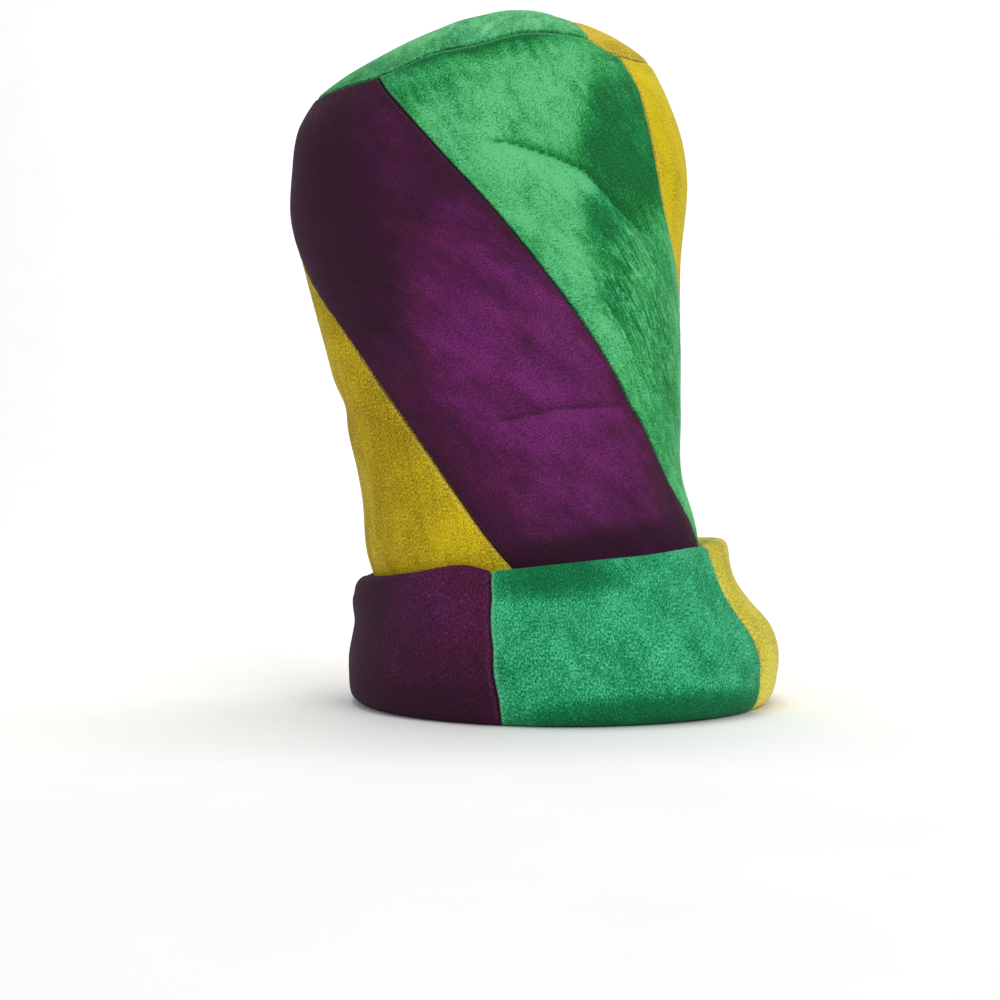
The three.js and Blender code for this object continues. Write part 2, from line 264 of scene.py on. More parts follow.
def short_way(azimuth: np.ndarray, height: np.ndarray, start: tuple[float, float]) -> np.ndarray:
    """Ways over the rolled-out crown from one point to others, the short way round.

    Args:
        azimuth: azimuths of the points.
        height: their heights.
        start: azimuth and height of the point to start from.

    Returns:
        The ways in mm, around and up.
    """
    turn = np.mod(azimuth - start[0] + 180, 360) - 180
    return np.stack(np.broadcast_arrays(np.radians(turn) * FOLD_GIRTH, height - start[1]), axis=-1)


def line_distance(azimuth: np.ndarray, height: np.ndarray, start: tuple[float, float],
                  end: tuple[float, float]) -> tuple[np.ndarray, np.ndarray]:
    """Measures places on the rolled-out crown against a straight line.

    Args:
        azimuth: azimuths of the places.
        height: their heights.
        start: azimuth and height of the line's start.
        end: azimuth and height of its end.

    Returns:
        The share of the line at its nearest point, and the distance from there in mm, below 0 on the right.
    """
    way = short_way(azimuth, height, start)
    line = short_way(*end, start)
    along = np.clip(way @ line / (line @ line), 0, 1)
    away = way - along[..., None] * line
    side = np.where(line[0] * away[..., 1] < line[1] * away[..., 0], -1, 1)
    return along, side * np.linalg.norm(away, axis=-1)


def unit(vectors: np.ndarray) -> np.ndarray:
    """Scales vectors to a length of 1."""
    return vectors / np.maximum(np.linalg.norm(vectors, axis=-1, keepdims=True), SHORTEST)


def graded(length: float, fine_ends: tuple[bool, bool] = (True, True)) -> np.ndarray:
    """Splits a length into even cells that get finer towards its ends.

    Args:
        length: the whole length in mm.
        fine_ends: whether the start and the end get fine cells.

    Returns:
        The places of the splits as shares of the length, from 0 to 1.
    """
    ramp = [0.0]
    step = FINEST_CELL
    while step < CELL:
        ramp.append(ramp[-1] + step)
        step *= CELL_GROWTH
    start = ramp if fine_ends[0] else [0.0]
    end = ramp if fine_ends[1] else [0.0]
    count = max(2, round((length - start[-1] - end[-1]) / CELL))
    middle = np.linspace(start[-1], length - end[-1], count + 1)
    return np.concatenate([start[:-1], middle, length - np.array(end[-2::-1])]) / length


# The smooth form


@dataclass
class HatForm:
    """The hat's smooth outer form as functions of azimuth and height."""

    tip_rise: float = 32.5
    tip_roundness: float = 2.15
    tip_skew: float = 0.25
    wave_depth: float = 70.0            # how far down the crown the wave of the tip seam reaches
    rim_blend: float = 12.0             # how far from the tip seam the cloth takes its normals from it
    difference: float = 0.5             # small steps that give the normals, in degrees or mm
    reach_difference: float = 0.005

    def oval_point(self, oval: Oval, azimuth: np.ndarray, height: np.ndarray,
                   grow: float = 0) -> np.ndarray:
        """Points of an oval.

        Args:
            oval: the oval, or one whose fields are arrays.
            azimuth: azimuths of the points.
            height: height of the oval's middle.
            grow: how far the points lie outside it.

        Returns:
            The points, one in each last axis.
        """
        angle = np.radians(azimuth)
        across = (oval.half_width + grow) * np.sin(angle)
        depth = -(oval.half_depth + grow) * np.cos(angle)
        rise = across * np.tan(np.radians(oval.tilt))
        return np.stack(np.broadcast_arrays(oval.shift + across, depth, height + rise), axis=-1)

    def crown_oval(self, height: np.ndarray) -> Oval:
        """The crown's oval at a height, without the height itself."""
        columns = ("half_width", "half_depth", "shift", "tilt")
        return Oval(height, *(CROWN_OVALS.read(column, height) for column in columns))

    def crown_point(self, azimuth: np.ndarray, height: np.ndarray) -> np.ndarray:
        """Points of the crown. The wave of the tip seam fades out down the crown.

        Args:
            azimuth: azimuths of the points.
            height: their heights.

        Returns:
            The points, one in each last axis.
        """
        fade = smooth(TIP_SEAM - self.wave_depth, TIP_SEAM, height)
        lift = TIP_WAVE.read("lift", in_turn(azimuth))
        return self.oval_point(self.crown_oval(height), azimuth, height + lift * fade)

    def tip_point(self, azimuth: np.ndarray, reach: np.ndarray) -> np.ndarray:
        """Points of the domed tip.

        Args:
            azimuth: azimuths of the points.
            reach: how far out they are, 0 in the middle and 1 at the seam.

        Returns:
            The points, one in each last axis.
        """
        rim = self.crown_oval(np.array(TIP_SEAM))
        angle = np.radians(azimuth)
        across = rim.half_width * np.sin(angle) * reach
        depth = -rim.half_depth * np.cos(angle) * reach
        cap = self.tip_rise * (1 - reach**self.tip_roundness)
        dome = cap * (1 + self.tip_skew * reach * np.sin(angle))
        rise = across * np.tan(np.radians(rim.tilt))
        lift = TIP_WAVE.read("lift", in_turn(azimuth)) * reach**2
        return np.stack([rim.shift + across, depth, TIP_SEAM + rise + dome + lift], axis=-1)

    def crown_normal(self, azimuth: np.ndarray, height: np.ndarray) -> np.ndarray:
        """Outward normals of the crown.

        Args:
            azimuth: azimuths of places on the crown.
            height: their heights.

        Returns:
            The normals, one in each last axis.
        """
        d = self.difference
        h = np.minimum(height, TIP_SEAM - d)
        around = self.crown_point(azimuth + d, h) - self.crown_point(azimuth - d, h)
        up = self.crown_point(azimuth, h + d) - self.crown_point(azimuth, h - d)
        return unit(np.cross(around, up))

    def tip_normal(self, azimuth: np.ndarray, reach: np.ndarray) -> np.ndarray:
        """Outward normals of the tip.

        Args:
            azimuth: azimuths of places on the tip.
            reach: how far out they are, from 0 to 1.

        Returns:
            The normals, one in each last axis.
        """
        d = self.difference
        r_step = self.reach_difference
        r = np.maximum(reach, 2 * r_step)
        around = self.tip_point(azimuth + d, r) - self.tip_point(azimuth - d, r)
        inwards = self.tip_point(azimuth, r - r_step) - self.tip_point(azimuth, r + r_step)
        return unit(np.cross(around, inwards))

    def seam_normal(self, azimuth: np.ndarray) -> np.ndarray:
        """Normals half-way between crown and tip, where they meet."""
        crown = self.crown_normal(azimuth, np.full_like(azimuth, TIP_SEAM))
        return unit(crown + self.tip_normal(azimuth, np.ones_like(azimuth)))

    def rim_normal(self, normal: np.ndarray, azimuth: np.ndarray, from_rim: np.ndarray) -> np.ndarray:
        """Turns the normals near the tip seam to those of the seam.

        Args:
            normal: normals of the crown or the tip.
            azimuth: their azimuths.
            from_rim: their distances from the seam in mm.

        Returns:
            The turned normals.
        """
        blend = (1 - smooth(0, self.rim_blend, from_rim))[..., None]
        return unit(normal * (1 - blend) + self.seam_normal(azimuth) * blend)


# Relief of the cloth


@dataclass(frozen=True)
class Fold:
    """A soft fold between two points of the crown. A depth below 0 is a valley."""

    from_azimuth: float
    from_height: float
    to_azimuth: float
    to_height: float
    width: float
    depth: float


@dataclass(frozen=True)
class Crease:
    """A sharp crease along some points of the crown, a valley with a ridge under it.

    Painted shade darkens the pile above the crease and a painted highlight lightens the ridge.
    """

    points: tuple[tuple[float, float], ...]
    valley: float
    valley_width: float
    ridge: float
    ridge_width: float
    # shade painted above the crease, highlight painted on its ridge, and how far the shade reaches
    dark: float
    light: float
    shade_reach: float


CROWN_FOLDS = [
    Fold(6, 281, 50, 234, 9, -2.6),
    Fold(8, 264, 46, 220, 12, 1.6),
    Fold(2, 147, 44, 148, 8, -1.4),
    Fold(-88, 163, -72, 159, 10, -2.4),
    Fold(-12, 310, 30, 315, 10, -2),
]

# each crease also paints shade above its line and a highlight on its ridge
CROWN_CREASES = [
    Crease(((-4, 280), (7, 277), (20, 269), (29, 262), (38, 248), (48, 236), (58, 229)),
           2.0, 1.5, 1.5, 7.0, 0.6, 0.25, 1.6),
    Crease(((-10, 142), (6, 146), (18, 148), (32, 147.5), (44, 149)), 0.9, 2.6, 0.6, 6.0, 0.2, 0.1, 2.4),
    Crease(((40, 318), (47, 322), (51, 321)), 0.7, 2.2, 0.5, 5.0, 0.2, 0.1, 3.0),
]


@dataclass(frozen=True)
class Ripple:
    """Slow crossed waves of the cloth. Lengths are in mm for each radian, sways and starts in radians."""

    height: float
    across: float
    along: float
    sway: float
    sway_along: float
    across_start: float
    along_start: float


RIPPLES = [
    Ripple(1, 17, 21, 0.8, 23, 0, 1.3),
    Ripple(0.35, 8.5, 11, 1, 13, 2, 0.4),
]


@dataclass
class Relief:
    """How far the cloth stands off the smooth form, in mm."""

    roll: float = 2.2                   # radius of the cloth's turn into a seam
    pull: float = 1.0                   # how far a seam pulls the cloth in around it
    pull_reach: float = 7.0
    pucker: float = 0.22                # small waves along a seam
    pucker_length: float = 11.0
    pucker_sway: float = 1.7
    pucker_sway_length: float = 19.0
    pucker_start: float = 3.0           # distance from a seam where they have grown
    pucker_reach: float = 8.0
    unevenness: float = 0.45
    uneven_start: float = 14.0          # distance from a seam where the unevenness has grown
    # how far from a seam the pile parts and shade is painted
    parting_reach: float = 3.0
    crease_grown: float = 0.18          # shares of a crease's line where it has grown and where it fades
    crease_fades: float = 0.75
    shade_low: float = -1.0             # distances from a crease's line between which its shade changes
    shade_high: float = 0.6

    def folds(self, azimuth: np.ndarray, height: np.ndarray) -> np.ndarray:
        """The soft folds of the crown.

        Args:
            azimuth: azimuths of places on the crown.
            height: their heights.

        Returns:
            How far the folds raise the cloth there.
        """
        total = np.zeros(np.broadcast(azimuth, height).shape)
        for fold in CROWN_FOLDS:
            start = (fold.from_azimuth, fold.from_height)
            end = (fold.to_azimuth, fold.to_height)
            _, distance = line_distance(azimuth, height, start, end)
            total += fold.depth * np.exp(-((distance / fold.width) ** 2))
        return total

    def crease_lines(self, azimuth: np.ndarray, height: np.ndarray,
                     crease: Crease) -> tuple[np.ndarray, np.ndarray]:
        """Measures places on the crown against the line of a crease.

        Args:
            azimuth: azimuths of the places.
            height: their heights.
            crease: the crease.

        Returns:
            The distance above the line, below 0 under it, and how much of the crease is left there.
        """
        above = np.full(np.broadcast(azimuth, height).shape, np.inf)
        share = np.zeros(above.shape)
        for i, (start, end) in enumerate(zip(crease.points[:-1], crease.points[1:])):
            along, distance = line_distance(azimuth, height, start, end)
            closer = np.abs(distance) < np.abs(above)
            above = np.where(closer, distance, above)
            share = np.where(closer, (i + along) / (len(crease.points) - 1), share)
        return above, smooth(0, self.crease_grown, share) * (1 - smooth(self.crease_fades, 1, share))

    def creases(self, azimuth: np.ndarray, height: np.ndarray) -> np.ndarray:
        """The sharp creases of the crown.

        Args:
            azimuth: azimuths of places on the crown.
            height: their heights.

        Returns:
            How far the creases raise the cloth there.
        """
        total = np.zeros(np.broadcast(azimuth, height).shape)
        for crease in CROWN_CREASES:
            above, left = self.crease_lines(azimuth, height, crease)
            valley = np.exp(-((above / crease.valley_width) ** 2))
            ridge = np.exp(-((above / crease.ridge_width + 1) ** 2))
            total += left * (crease.ridge * ridge - crease.valley * valley)
        return total

    def crease_shade(self, azimuth: np.ndarray, height: np.ndarray) -> np.ndarray:
        """Painted shade above each crease's line and a painted highlight on the ridge below it.

        Args:
            azimuth: azimuths of places on the crown.
            height: their heights.

        Returns:
            What the creases add to the nap there.
        """
        total = np.zeros(np.broadcast(azimuth, height).shape)
        for crease in CROWN_CREASES:
            above, left = self.crease_lines(azimuth, height, crease)
            over = smooth(self.shade_low, self.shade_high, above)
            # painted shade above the line, painted highlight on the ridge below
            parted = over * np.exp(-np.abs(above) / crease.shade_reach)
            ridge_highlight = (1 - over) * np.exp(-np.abs(above) / crease.ridge_width)
            total += left * (crease.light * ridge_highlight - crease.dark * parted)
        return total

    def uneven(self, across: np.ndarray, along: np.ndarray) -> np.ndarray:
        """Slow waves of a cloth that was stuffed by hand.

        Args:
            across: places across the cloth in mm.
            along: places along it in mm.

        Returns:
            How far the waves raise the cloth there.
        """
        total = np.zeros(np.broadcast(across, along).shape)
        for ripple in RIPPLES:
            sway = ripple.sway * np.sin(along / ripple.sway_along)
            around = np.sin(across / ripple.across + ripple.across_start + sway)
            total += ripple.height * around * np.sin(along / ripple.along + ripple.along_start)
        return self.unevenness * total

    def seam(self, distance: np.ndarray, along: np.ndarray) -> np.ndarray:
        """The turn of the cloth into a seam.

        Args:
            distance: distance from the seam in mm.
            along: place along it in mm.

        Returns:
            How far the cloth stands off, below 0 at the seam.
        """
        inside = np.clip(self.roll - distance, 0, self.roll)
        turn = self.roll - np.sqrt(np.maximum(self.roll**2 - inside**2, 0))
        pulled = self.pull * np.exp(-distance / self.pull_reach)
        sway = self.pucker_sway * np.sin(along / self.pucker_sway_length)
        waves = np.sin(2 * np.pi * along / self.pucker_length + sway)
        fade = np.exp(-distance / self.pucker_reach) * smooth(0, self.pucker_start, distance)
        return self.pucker * waves * fade - turn - pulled

    def parted(self, distance: np.ndarray) -> np.ndarray:
        """How far the pile parts and shade is painted at a distance from a seam in mm, from 0 to 1."""
        return np.exp(-distance / self.parting_reach)


# Lie of the pile, with painted shade and highlights


@dataclass(frozen=True)
class Patch:
    """An oval patch of how light the pile looks, some painting shade or a highlight, with the amount that
    it adds and how soft its edge is.
    """

    azimuth: float
    height: float
    around: float
    up: float
    turn: float
    amount: float
    edge: float


class PatchField:
    """An amount that changes over a piece in patches."""

    def __init__(self, base: float, *patches: Patch) -> None:
        """Takes the amount outside all patches, and the patches."""
        self.base = base
        self.patches = patches

    def level(self, azimuth: np.ndarray, height: np.ndarray) -> np.ndarray:
        """Adds the patches up.

        Args:
            azimuth: azimuths of places on the cloth.
            height: how far up they are, in mm.

        Returns:
            The amount at each of them.
        """
        total = np.full(np.broadcast(azimuth, height).shape, self.base)
        for patch in self.patches:
            turn = math.radians(patch.turn)
            way = short_way(azimuth, height, (patch.azimuth, patch.height))
            u = (way[..., 0] * math.cos(turn) + way[..., 1] * math.sin(turn)) / patch.around
            v = (way[..., 1] * math.cos(turn) - way[..., 0] * math.sin(turn)) / patch.up
            total += patch.amount * (1 - smooth(1 - patch.edge, 1 + patch.edge, np.hypot(u, v)))
        return total


@dataclass(frozen=True)
class Pile:
    """How the pile of one piece lies.

    nap is how light it looks: the crushed pile's sheen painted into its colour, with painted shade and
    highlights in some patches. comb is how much it shows combed streaks, and parting how far it darkens at
    a seam, partly parted pile and partly painted shade.
    """

    nap: PatchField
    comb: PatchField
    parting: float = 0.22


GOLD_PARTING_SHADE = 0.05     # the gold pile parts less than the others, and less shade is painted at its seams


# Finishes

Sockets = dict[str, bpy.types.NodeSocket]

# Sockets of a Mix node for colours, by number because the node's sockets share their names
MIX_SHARE = 0
MIX_FIRST = 6
MIX_SECOND = 7
MIX_RESULT = 2

NOISE_MIDDLE = 0.5


def linear(colour: str) -> tuple[float, float, float, float]:
    """Turns an sRGB hex colour into linear RGBA."""
    parts = [int(colour[i:i + 2], 16) / 255 for i in (1, 3, 5)]
    return (*(p / 12.92 if p <= 0.04045 else ((p + 0.055) / 1.055) ** 2.4 for p in parts), 1.0)


def add_node(tree: bpy.types.NodeTree, kind: str, inputs: dict, **settings: object) -> bpy.types.Node:
    """Adds a node with its settings, values and links.

    Args:
        tree: node tree of the material.
        kind: type of the node.
        inputs: a value, or the socket to link from, for each input's name or number.
        settings: properties of the node.

    Returns:
        The new node.
    """
    node = tree.nodes.new(kind)
    for name, value in settings.items():
        setattr(node, name, value)
    for name, value in inputs.items():
        if isinstance(value, bpy.types.NodeSocket):
            tree.links.new(value, node.inputs[name])
        else:
            node.inputs[name].default_value = value
    return node


def new_material(name: str) -> tuple[bpy.types.Material, bpy.types.NodeTree]:
    """Makes a material with an empty node tree.

    Args:
        name: name of the material.

    Returns:
        The material and its node tree.
    """
    material = bpy.data.materials.new(name)
    material.use_nodes = True
    material.node_tree.nodes.clear()
    return material, material.node_tree


def finish_material(tree: bpy.types.NodeTree, inputs: dict) -> None:
    """Ends a material with its shader and its output.

    Args:
        tree: node tree of the material.
        inputs: a value, or the socket to link from, for each input of the shader.
    """
    shader = add_node(tree, "ShaderNodeBsdfPrincipled", inputs)
    add_node(tree, "ShaderNodeOutputMaterial", {"Surface": shader.outputs[0]})


@dataclass(frozen=True)
class Pattern:
    """A noise over the cloth: the size of its cells across and along the pile in mm, and its character."""

    across: float
    along: float
    detail: float
    wave: float = 0.0
    roughness: float = 0.62


@dataclass(frozen=True)
class VelvetFinish:
    """Crushed polyester velvet: a short shiny pile that was pressed flat in changing directions.

    Its colour paints the pile's sheen, dark where the pile points away and light where it lies towards the
    viewer, and the same level carries painted shade and highlights; with a fine speckle of tufts, hair-thin
    streaks where it was combed and a pale line beside a seam, partly lighter ground where the seam folds it
    hard and partly a painted highlight.
    """

    name: str
    # from dark to light: the pile's sheen painted into the colour, carrying painted shade and highlights
    # too
    shade: str
    body: str
    light: str
    tint: str
    # the pale line beside a seam: partly lighter ground, partly a painted highlight on the fold
    edge: str
    sheen: str
    sheen_weight: float
    edge_weight: float
    gloss: float = 0.15
    tuft_mm: float = 0.68       # tufts are finer; drawn this coarse so that they show
    brush_mm: float = 4.0
    streak_mm: float = 2.4
    streak_length_mm: float = 18.0
    streak_wave: float = 0.7
    patch_mm: float = 22.0
    tuft_gain: float = 2.6
    brush_gain: float = 0.2
    streak_gain: float = 1.2
    hair_gain: float = 0.3
    hair_width: float = 0.04
    patch_gain: float = 0.6
    dark_tufts: float = 0.45    # speckle where the pile points away, as a share of the tufts' gain
    dark_end: float = 0.05
    light_end: float = 0.95
    body_level: float = 0.5     # where the pile shows its body colour
    tint_from: float = -0.12
    tint_to: float = 0.16
    worn_from: float = -0.16
    worn_to: float = 0.1
    line_starts: float = 0.5    # the pale line's course in mm from a seam
    line_grown: float = 1.2
    line_fades: float = 1.4
    line_ends: float = 2.6
    dull: float = 0.82          # roughness where the pile points away
    silky: float = 0.55         # and where it lies towards the viewer
    sheen_roughness: float = 0.35
    bump: float = 0.4
    bump_mm: float = 0.4

    def patterns(self, tree: bpy.types.NodeTree, cloth: bpy.types.NodeSocket) -> Sockets:
        """Adds the noises of the pile, which are longer along it than across.

        Args:
            tree: node tree of the material.
            cloth: places on the cloth in mm.

        Returns:
            The noises, each around 0.
        """
        patterns = {
            "patch": Pattern(self.patch_mm, 1.5 * self.patch_mm, 6.0),
            "tint": Pattern(1.6 * self.patch_mm, 2.4 * self.patch_mm, 2.0),
            "brush": Pattern(self.brush_mm, 2.2 * self.brush_mm, 4.0),
            "streak": Pattern(self.streak_mm, self.streak_length_mm, 2.0, self.streak_wave),
            "tuft": Pattern(self.tuft_mm, 1.7 * self.tuft_mm, 2.0),
        }
        noise = {}
        for name, pattern in patterns.items():
            scale = (1 / pattern.across, 1 / pattern.along, 1)
            place = add_node(tree, "ShaderNodeVectorMath", {0: cloth, 1: scale}, operation="MULTIPLY")
            cells = add_node(tree, "ShaderNodeTexNoise", {
                "Vector": place.outputs[0], "Scale": 1.0, "Detail": pattern.detail,
                "Roughness": pattern.roughness, "Distortion": pattern.wave})
            middle = add_node(tree, "ShaderNodeMath", {
                0: cells.outputs["Fac"], 1: NOISE_MIDDLE}, operation="SUBTRACT")
            noise[name] = middle.outputs[0]
        return noise

    def pile_level(self, tree: bpy.types.NodeTree, read: Sockets, noise: Sockets) -> bpy.types.NodeSocket:
        """Works out how light the pile looks.

        Args:
            tree: node tree of the material.
            read: the cloth's own attributes.
            noise: the noises of the pile.

        Returns:
            0 where the pile points away or shade is painted, 1 where it lies towards the viewer or a
            highlight is painted.
        """
        lay = add_node(tree, "ShaderNodeMath", {
            0: noise["patch"], 1: self.patch_gain, 2: read["nap"]}, operation="MULTIPLY_ADD")
        brushed = add_node(tree, "ShaderNodeMath", {
            0: noise["brush"], 1: self.brush_gain, 2: lay.outputs[0]}, operation="MULTIPLY_ADD")
        feathered = add_node(tree, "ShaderNodeMapRange", {
            "Value": brushed.outputs[0], "From Min": self.dark_end, "From Max": self.light_end},
            interpolation_type="SMOOTHSTEP")
        speckle = add_node(tree, "ShaderNodeMapRange", {
            "Value": feathered.outputs[0], "To Min": self.dark_tufts * self.tuft_gain,
            "To Max": self.tuft_gain})
        from_parting = add_node(tree, "ShaderNodeMath", {0: noise["streak"]}, operation="ABSOLUTE")
        hair = add_node(tree, "ShaderNodeMapRange", {
            "Value": from_parting.outputs[0], "From Min": self.hair_width, "From Max": 0.0,
            "To Max": self.hair_gain})
        combing = add_node(tree, "ShaderNodeMath", {
            0: noise["streak"], 1: self.streak_gain, 2: hair.outputs[0]}, operation="MULTIPLY_ADD")
        streaked = add_node(tree, "ShaderNodeMath", {
            0: combing.outputs[0], 1: read["comb"], 2: feathered.outputs[0]}, operation="MULTIPLY_ADD")
        level = add_node(tree, "ShaderNodeMath", {
            0: noise["tuft"], 1: speckle.outputs[0], 2: streaked.outputs[0]}, operation="MULTIPLY_ADD")
        return level.outputs[0]

    def pile_colour(self, tree: bpy.types.NodeTree, level: bpy.types.NodeSocket,
                    tint: bpy.types.NodeSocket) -> bpy.types.NodeSocket:
        """Colours the pile from shade over body to light.

        Args:
            tree: node tree of the material.
            level: how light the pile looks.
            tint: the noise that tints the body.

        Returns:
            The pile's colour.
        """
        low = add_node(tree, "ShaderNodeMapRange", {"Value": level, "From Max": self.body_level})
        high = add_node(tree, "ShaderNodeMapRange", {"Value": level, "From Min": self.body_level})
        tinted = add_node(tree, "ShaderNodeMapRange", {
            "Value": tint, "From Min": self.tint_from, "From Max": self.tint_to})
        body = add_node(tree, "ShaderNodeMix", {
            MIX_SHARE: tinted.outputs[0], MIX_FIRST: linear(self.body), MIX_SECOND: linear(self.tint)},
            data_type="RGBA")
        darker = add_node(tree, "ShaderNodeMix", {
            MIX_SHARE: low.outputs[0], MIX_FIRST: linear(self.shade), MIX_SECOND: body.outputs[MIX_RESULT]},
            data_type="RGBA")
        pile = add_node(tree, "ShaderNodeMix", {
            MIX_SHARE: high.outputs[0], MIX_FIRST: darker.outputs[MIX_RESULT],
            MIX_SECOND: linear(self.light)}, data_type="RGBA")
        return pile.outputs[MIX_RESULT]

    def seam_line(self, tree: bpy.types.NodeTree, distance: bpy.types.NodeSocket,
                  tuft: bpy.types.NodeSocket) -> bpy.types.NodeSocket:
        """Draws the pale line beside a seam, partly lighter ground and partly a painted highlight, worn
        away in places.

        Args:
            tree: node tree of the material.
            distance: distance from the seam in mm.
            tuft: the noise of the tufts.

        Returns:
            How strong the line is.
        """
        near = add_node(tree, "ShaderNodeMapRange", {
            "Value": distance, "From Min": self.line_ends, "From Max": self.line_fades,
            "To Max": self.edge_weight})
        outside = add_node(tree, "ShaderNodeMapRange", {
            "Value": distance, "From Min": self.line_starts, "From Max": self.line_grown})
        worn = add_node(tree, "ShaderNodeMapRange", {
            "Value": tuft, "From Min": self.worn_from, "From Max": self.worn_to})
        line = add_node(tree, "ShaderNodeMath", {
            0: near.outputs[0], 1: outside.outputs[0]}, operation="MULTIPLY")
        broken = add_node(tree, "ShaderNodeMath", {
            0: line.outputs[0], 1: worn.outputs[0]}, operation="MULTIPLY")
        return broken.outputs[0]

    def material(self) -> bpy.types.Material:
        """Builds the material from the cloth's own attributes.

        Returns:
            The material.
        """
        material, tree = new_material(self.name)
        attributes = {"cloth": "Vector", "nap": "Fac", "comb": "Fac", "seam": "Fac"}
        read = {name: add_node(tree, "ShaderNodeAttribute", {}, attribute_name=name).outputs[output]
                for name, output in attributes.items()}
        noise = self.patterns(tree, read["cloth"])
        level = self.pile_level(tree, read, noise)
        pile = self.pile_colour(tree, level, noise["tint"])
        line = self.seam_line(tree, read["seam"], noise["tuft"])
        colour = add_node(tree, "ShaderNodeMix", {
            MIX_SHARE: line, MIX_FIRST: pile, MIX_SECOND: linear(self.edge)}, data_type="RGBA")
        rough = add_node(tree, "ShaderNodeMapRange", {
            "Value": level, "To Min": self.dull, "To Max": self.silky})
        combed = add_node(tree, "ShaderNodeMath", {
            0: noise["streak"], 1: read["comb"], 2: noise["tuft"]}, operation="MULTIPLY_ADD")
        bump = add_node(tree, "ShaderNodeBump", {
            "Height": combed.outputs[0], "Strength": self.bump, "Distance": self.bump_mm * MM})
        finish_material(tree, {
            "Base Color": colour.outputs[MIX_RESULT],
            "Roughness": rough.outputs[0],
            "Normal": bump.outputs[0],
            "Specular IOR Level": self.gloss,
            "Sheen Weight": self.sheen_weight,
            "Sheen Roughness": self.sheen_roughness,
            "Sheen Tint": linear(self.sheen),
        })
        return material


@dataclass(frozen=True)
class FoamBackingFinish:
    """Thin open-cell foam that is laminated to the velvet: pale, dull and finely pitted."""

    name: str = "foam_backing"
    # pit is painted into each pore's hollow as shade; skin is the foam between the pores
    pit: str = "#a9a297"
    skin: str = "#d3cdc2"
    pit_mm: float = 0.9
    pit_reach: float = 0.5      # share of a pit's size that its slope takes
    bump: float = 0.4
    bump_mm: float = 0.3
    roughness: float = 0.95
    gloss: float = 0.1

    def material(self) -> bpy.types.Material:
        """Builds the material on the hat's own coordinates.

        Returns:
            The material.
        """
        material, tree = new_material(self.name)
        place = add_node(tree, "ShaderNodeTexCoord", {})
        cells = add_node(tree, "ShaderNodeTexVoronoi", {
            "Vector": place.outputs["Object"], "Scale": 1 / (self.pit_mm * MM)})
        depth = add_node(tree, "ShaderNodeMapRange", {
            "Value": cells.outputs["Distance"], "From Max": self.pit_reach})
        colour = add_node(tree, "ShaderNodeMix", {
            MIX_SHARE: depth.outputs[0], MIX_FIRST: linear(self.pit), MIX_SECOND: linear(self.skin)},
            data_type="RGBA")
        bump = add_node(tree, "ShaderNodeBump", {
            "Height": depth.outputs[0], "Strength": self.bump, "Distance": self.bump_mm * MM})
        finish_material(tree, {
            "Base Color": colour.outputs[MIX_RESULT],
            "Normal": bump.outputs[0],
            "Roughness": self.roughness,
            "Specular IOR Level": self.gloss,
        })
        return material


@dataclass(frozen=True)
class PaperFinish:
    """Matt background paper, almost white, with a faint mottling."""

    name: str = "background_paper"
    low: str = "#f3f3f2"
    high: str = "#fafaf9"
    mottle_mm: float = 90.0
    mottle_detail: float = 3.0
    roughness: float = 0.9
    gloss: float = 0.1

    def material(self) -> bpy.types.Material:
        """Builds the material on the backdrop's own coordinates.

        Returns:
            The material.
        """
        material, tree = new_material(self.name)
        place = add_node(tree, "ShaderNodeTexCoord", {})
        mottle = add_node(tree, "ShaderNodeTexNoise", {
            "Vector": place.outputs["Object"], "Scale": 1 / (self.mottle_mm * MM),
            "Detail": self.mottle_detail})
        colour = add_node(tree, "ShaderNodeMix", {
            MIX_SHARE: mottle.outputs["Fac"], MIX_FIRST: linear(self.low), MIX_SECOND: linear(self.high)},
            data_type="RGBA")
        finish_material(tree, {
            "Base Color": colour.outputs[MIX_RESULT],
            "Roughness": self.roughness,
            "Specular IOR Level": self.gloss,
        })
        return material


class Cloth(Enum):
    """The velvets of the hat, by the name of each one's finish."""

    PURPLE = "purple_velvet"
    GREEN = "green_velvet"
    GOLD = "gold_velvet"


VELVETS = {
    Cloth.PURPLE: VelvetFinish("purple_velvet", "#2c0e21", "#481042", "#782270", "#4f123b", "#5a3a58",
                               "#7a5f7c", 0.10, 0.3, patch_gain=0.7),
    Cloth.GREEN: VelvetFinish("green_velvet", "#0a5a2a", "#188e4c", "#62c482", "#2b9646", "#84cfa0",
                              "#9accb0", 0.12, 0.35, brush_gain=0.7, streak_gain=0.8, hair_gain=0.9,
                              patch_gain=0.9, tuft_gain=2.3, dark_tufts=0.9, dark_end=-0.05),
    Cloth.GOLD: VelvetFinish("gold_velvet", "#7a640e", "#b2981a", "#deca1c", "#aa8f14", "#d8cc8c",
                             "#cfc79a", 0.04, 0.35, gloss=0.06, streak_mm=1.5, tuft_gain=1.4,
                             dark_tufts=3.0),
}

# The cuff is turned up, so its pile lies the other way and looks more speckled; these copies are also
# deeper and cooler, painted for the cuff's different light
TURNED_RELIT_VELVETS = {
    Cloth.PURPLE: VelvetFinish("purple_velvet_turned", "#2b0e22", "#460f3b", "#6c2062", "#500f34",
                               "#5a3a58", "#7a5f7c", 0.05, 0.3, tuft_mm=0.9, tuft_gain=3.2),
    Cloth.GREEN: VelvetFinish("green_velvet_turned", "#075c34", "#0d8a56", "#4ec692", "#108650",
                              "#90d8b4", "#9accb8", 0.10, 0.6, tuft_mm=0.75, tuft_gain=2.8,
                              brush_gain=0.4, dark_tufts=0.8),
    Cloth.GOLD: VelvetFinish("gold_velvet_turned", "#86761a", "#b4a420", "#e0d248", "#a6961c",
                             "#e0dc9c", "#cfcfa0", 0.10, 0.3, tuft_mm=0.9),
}


# Cloth pieces


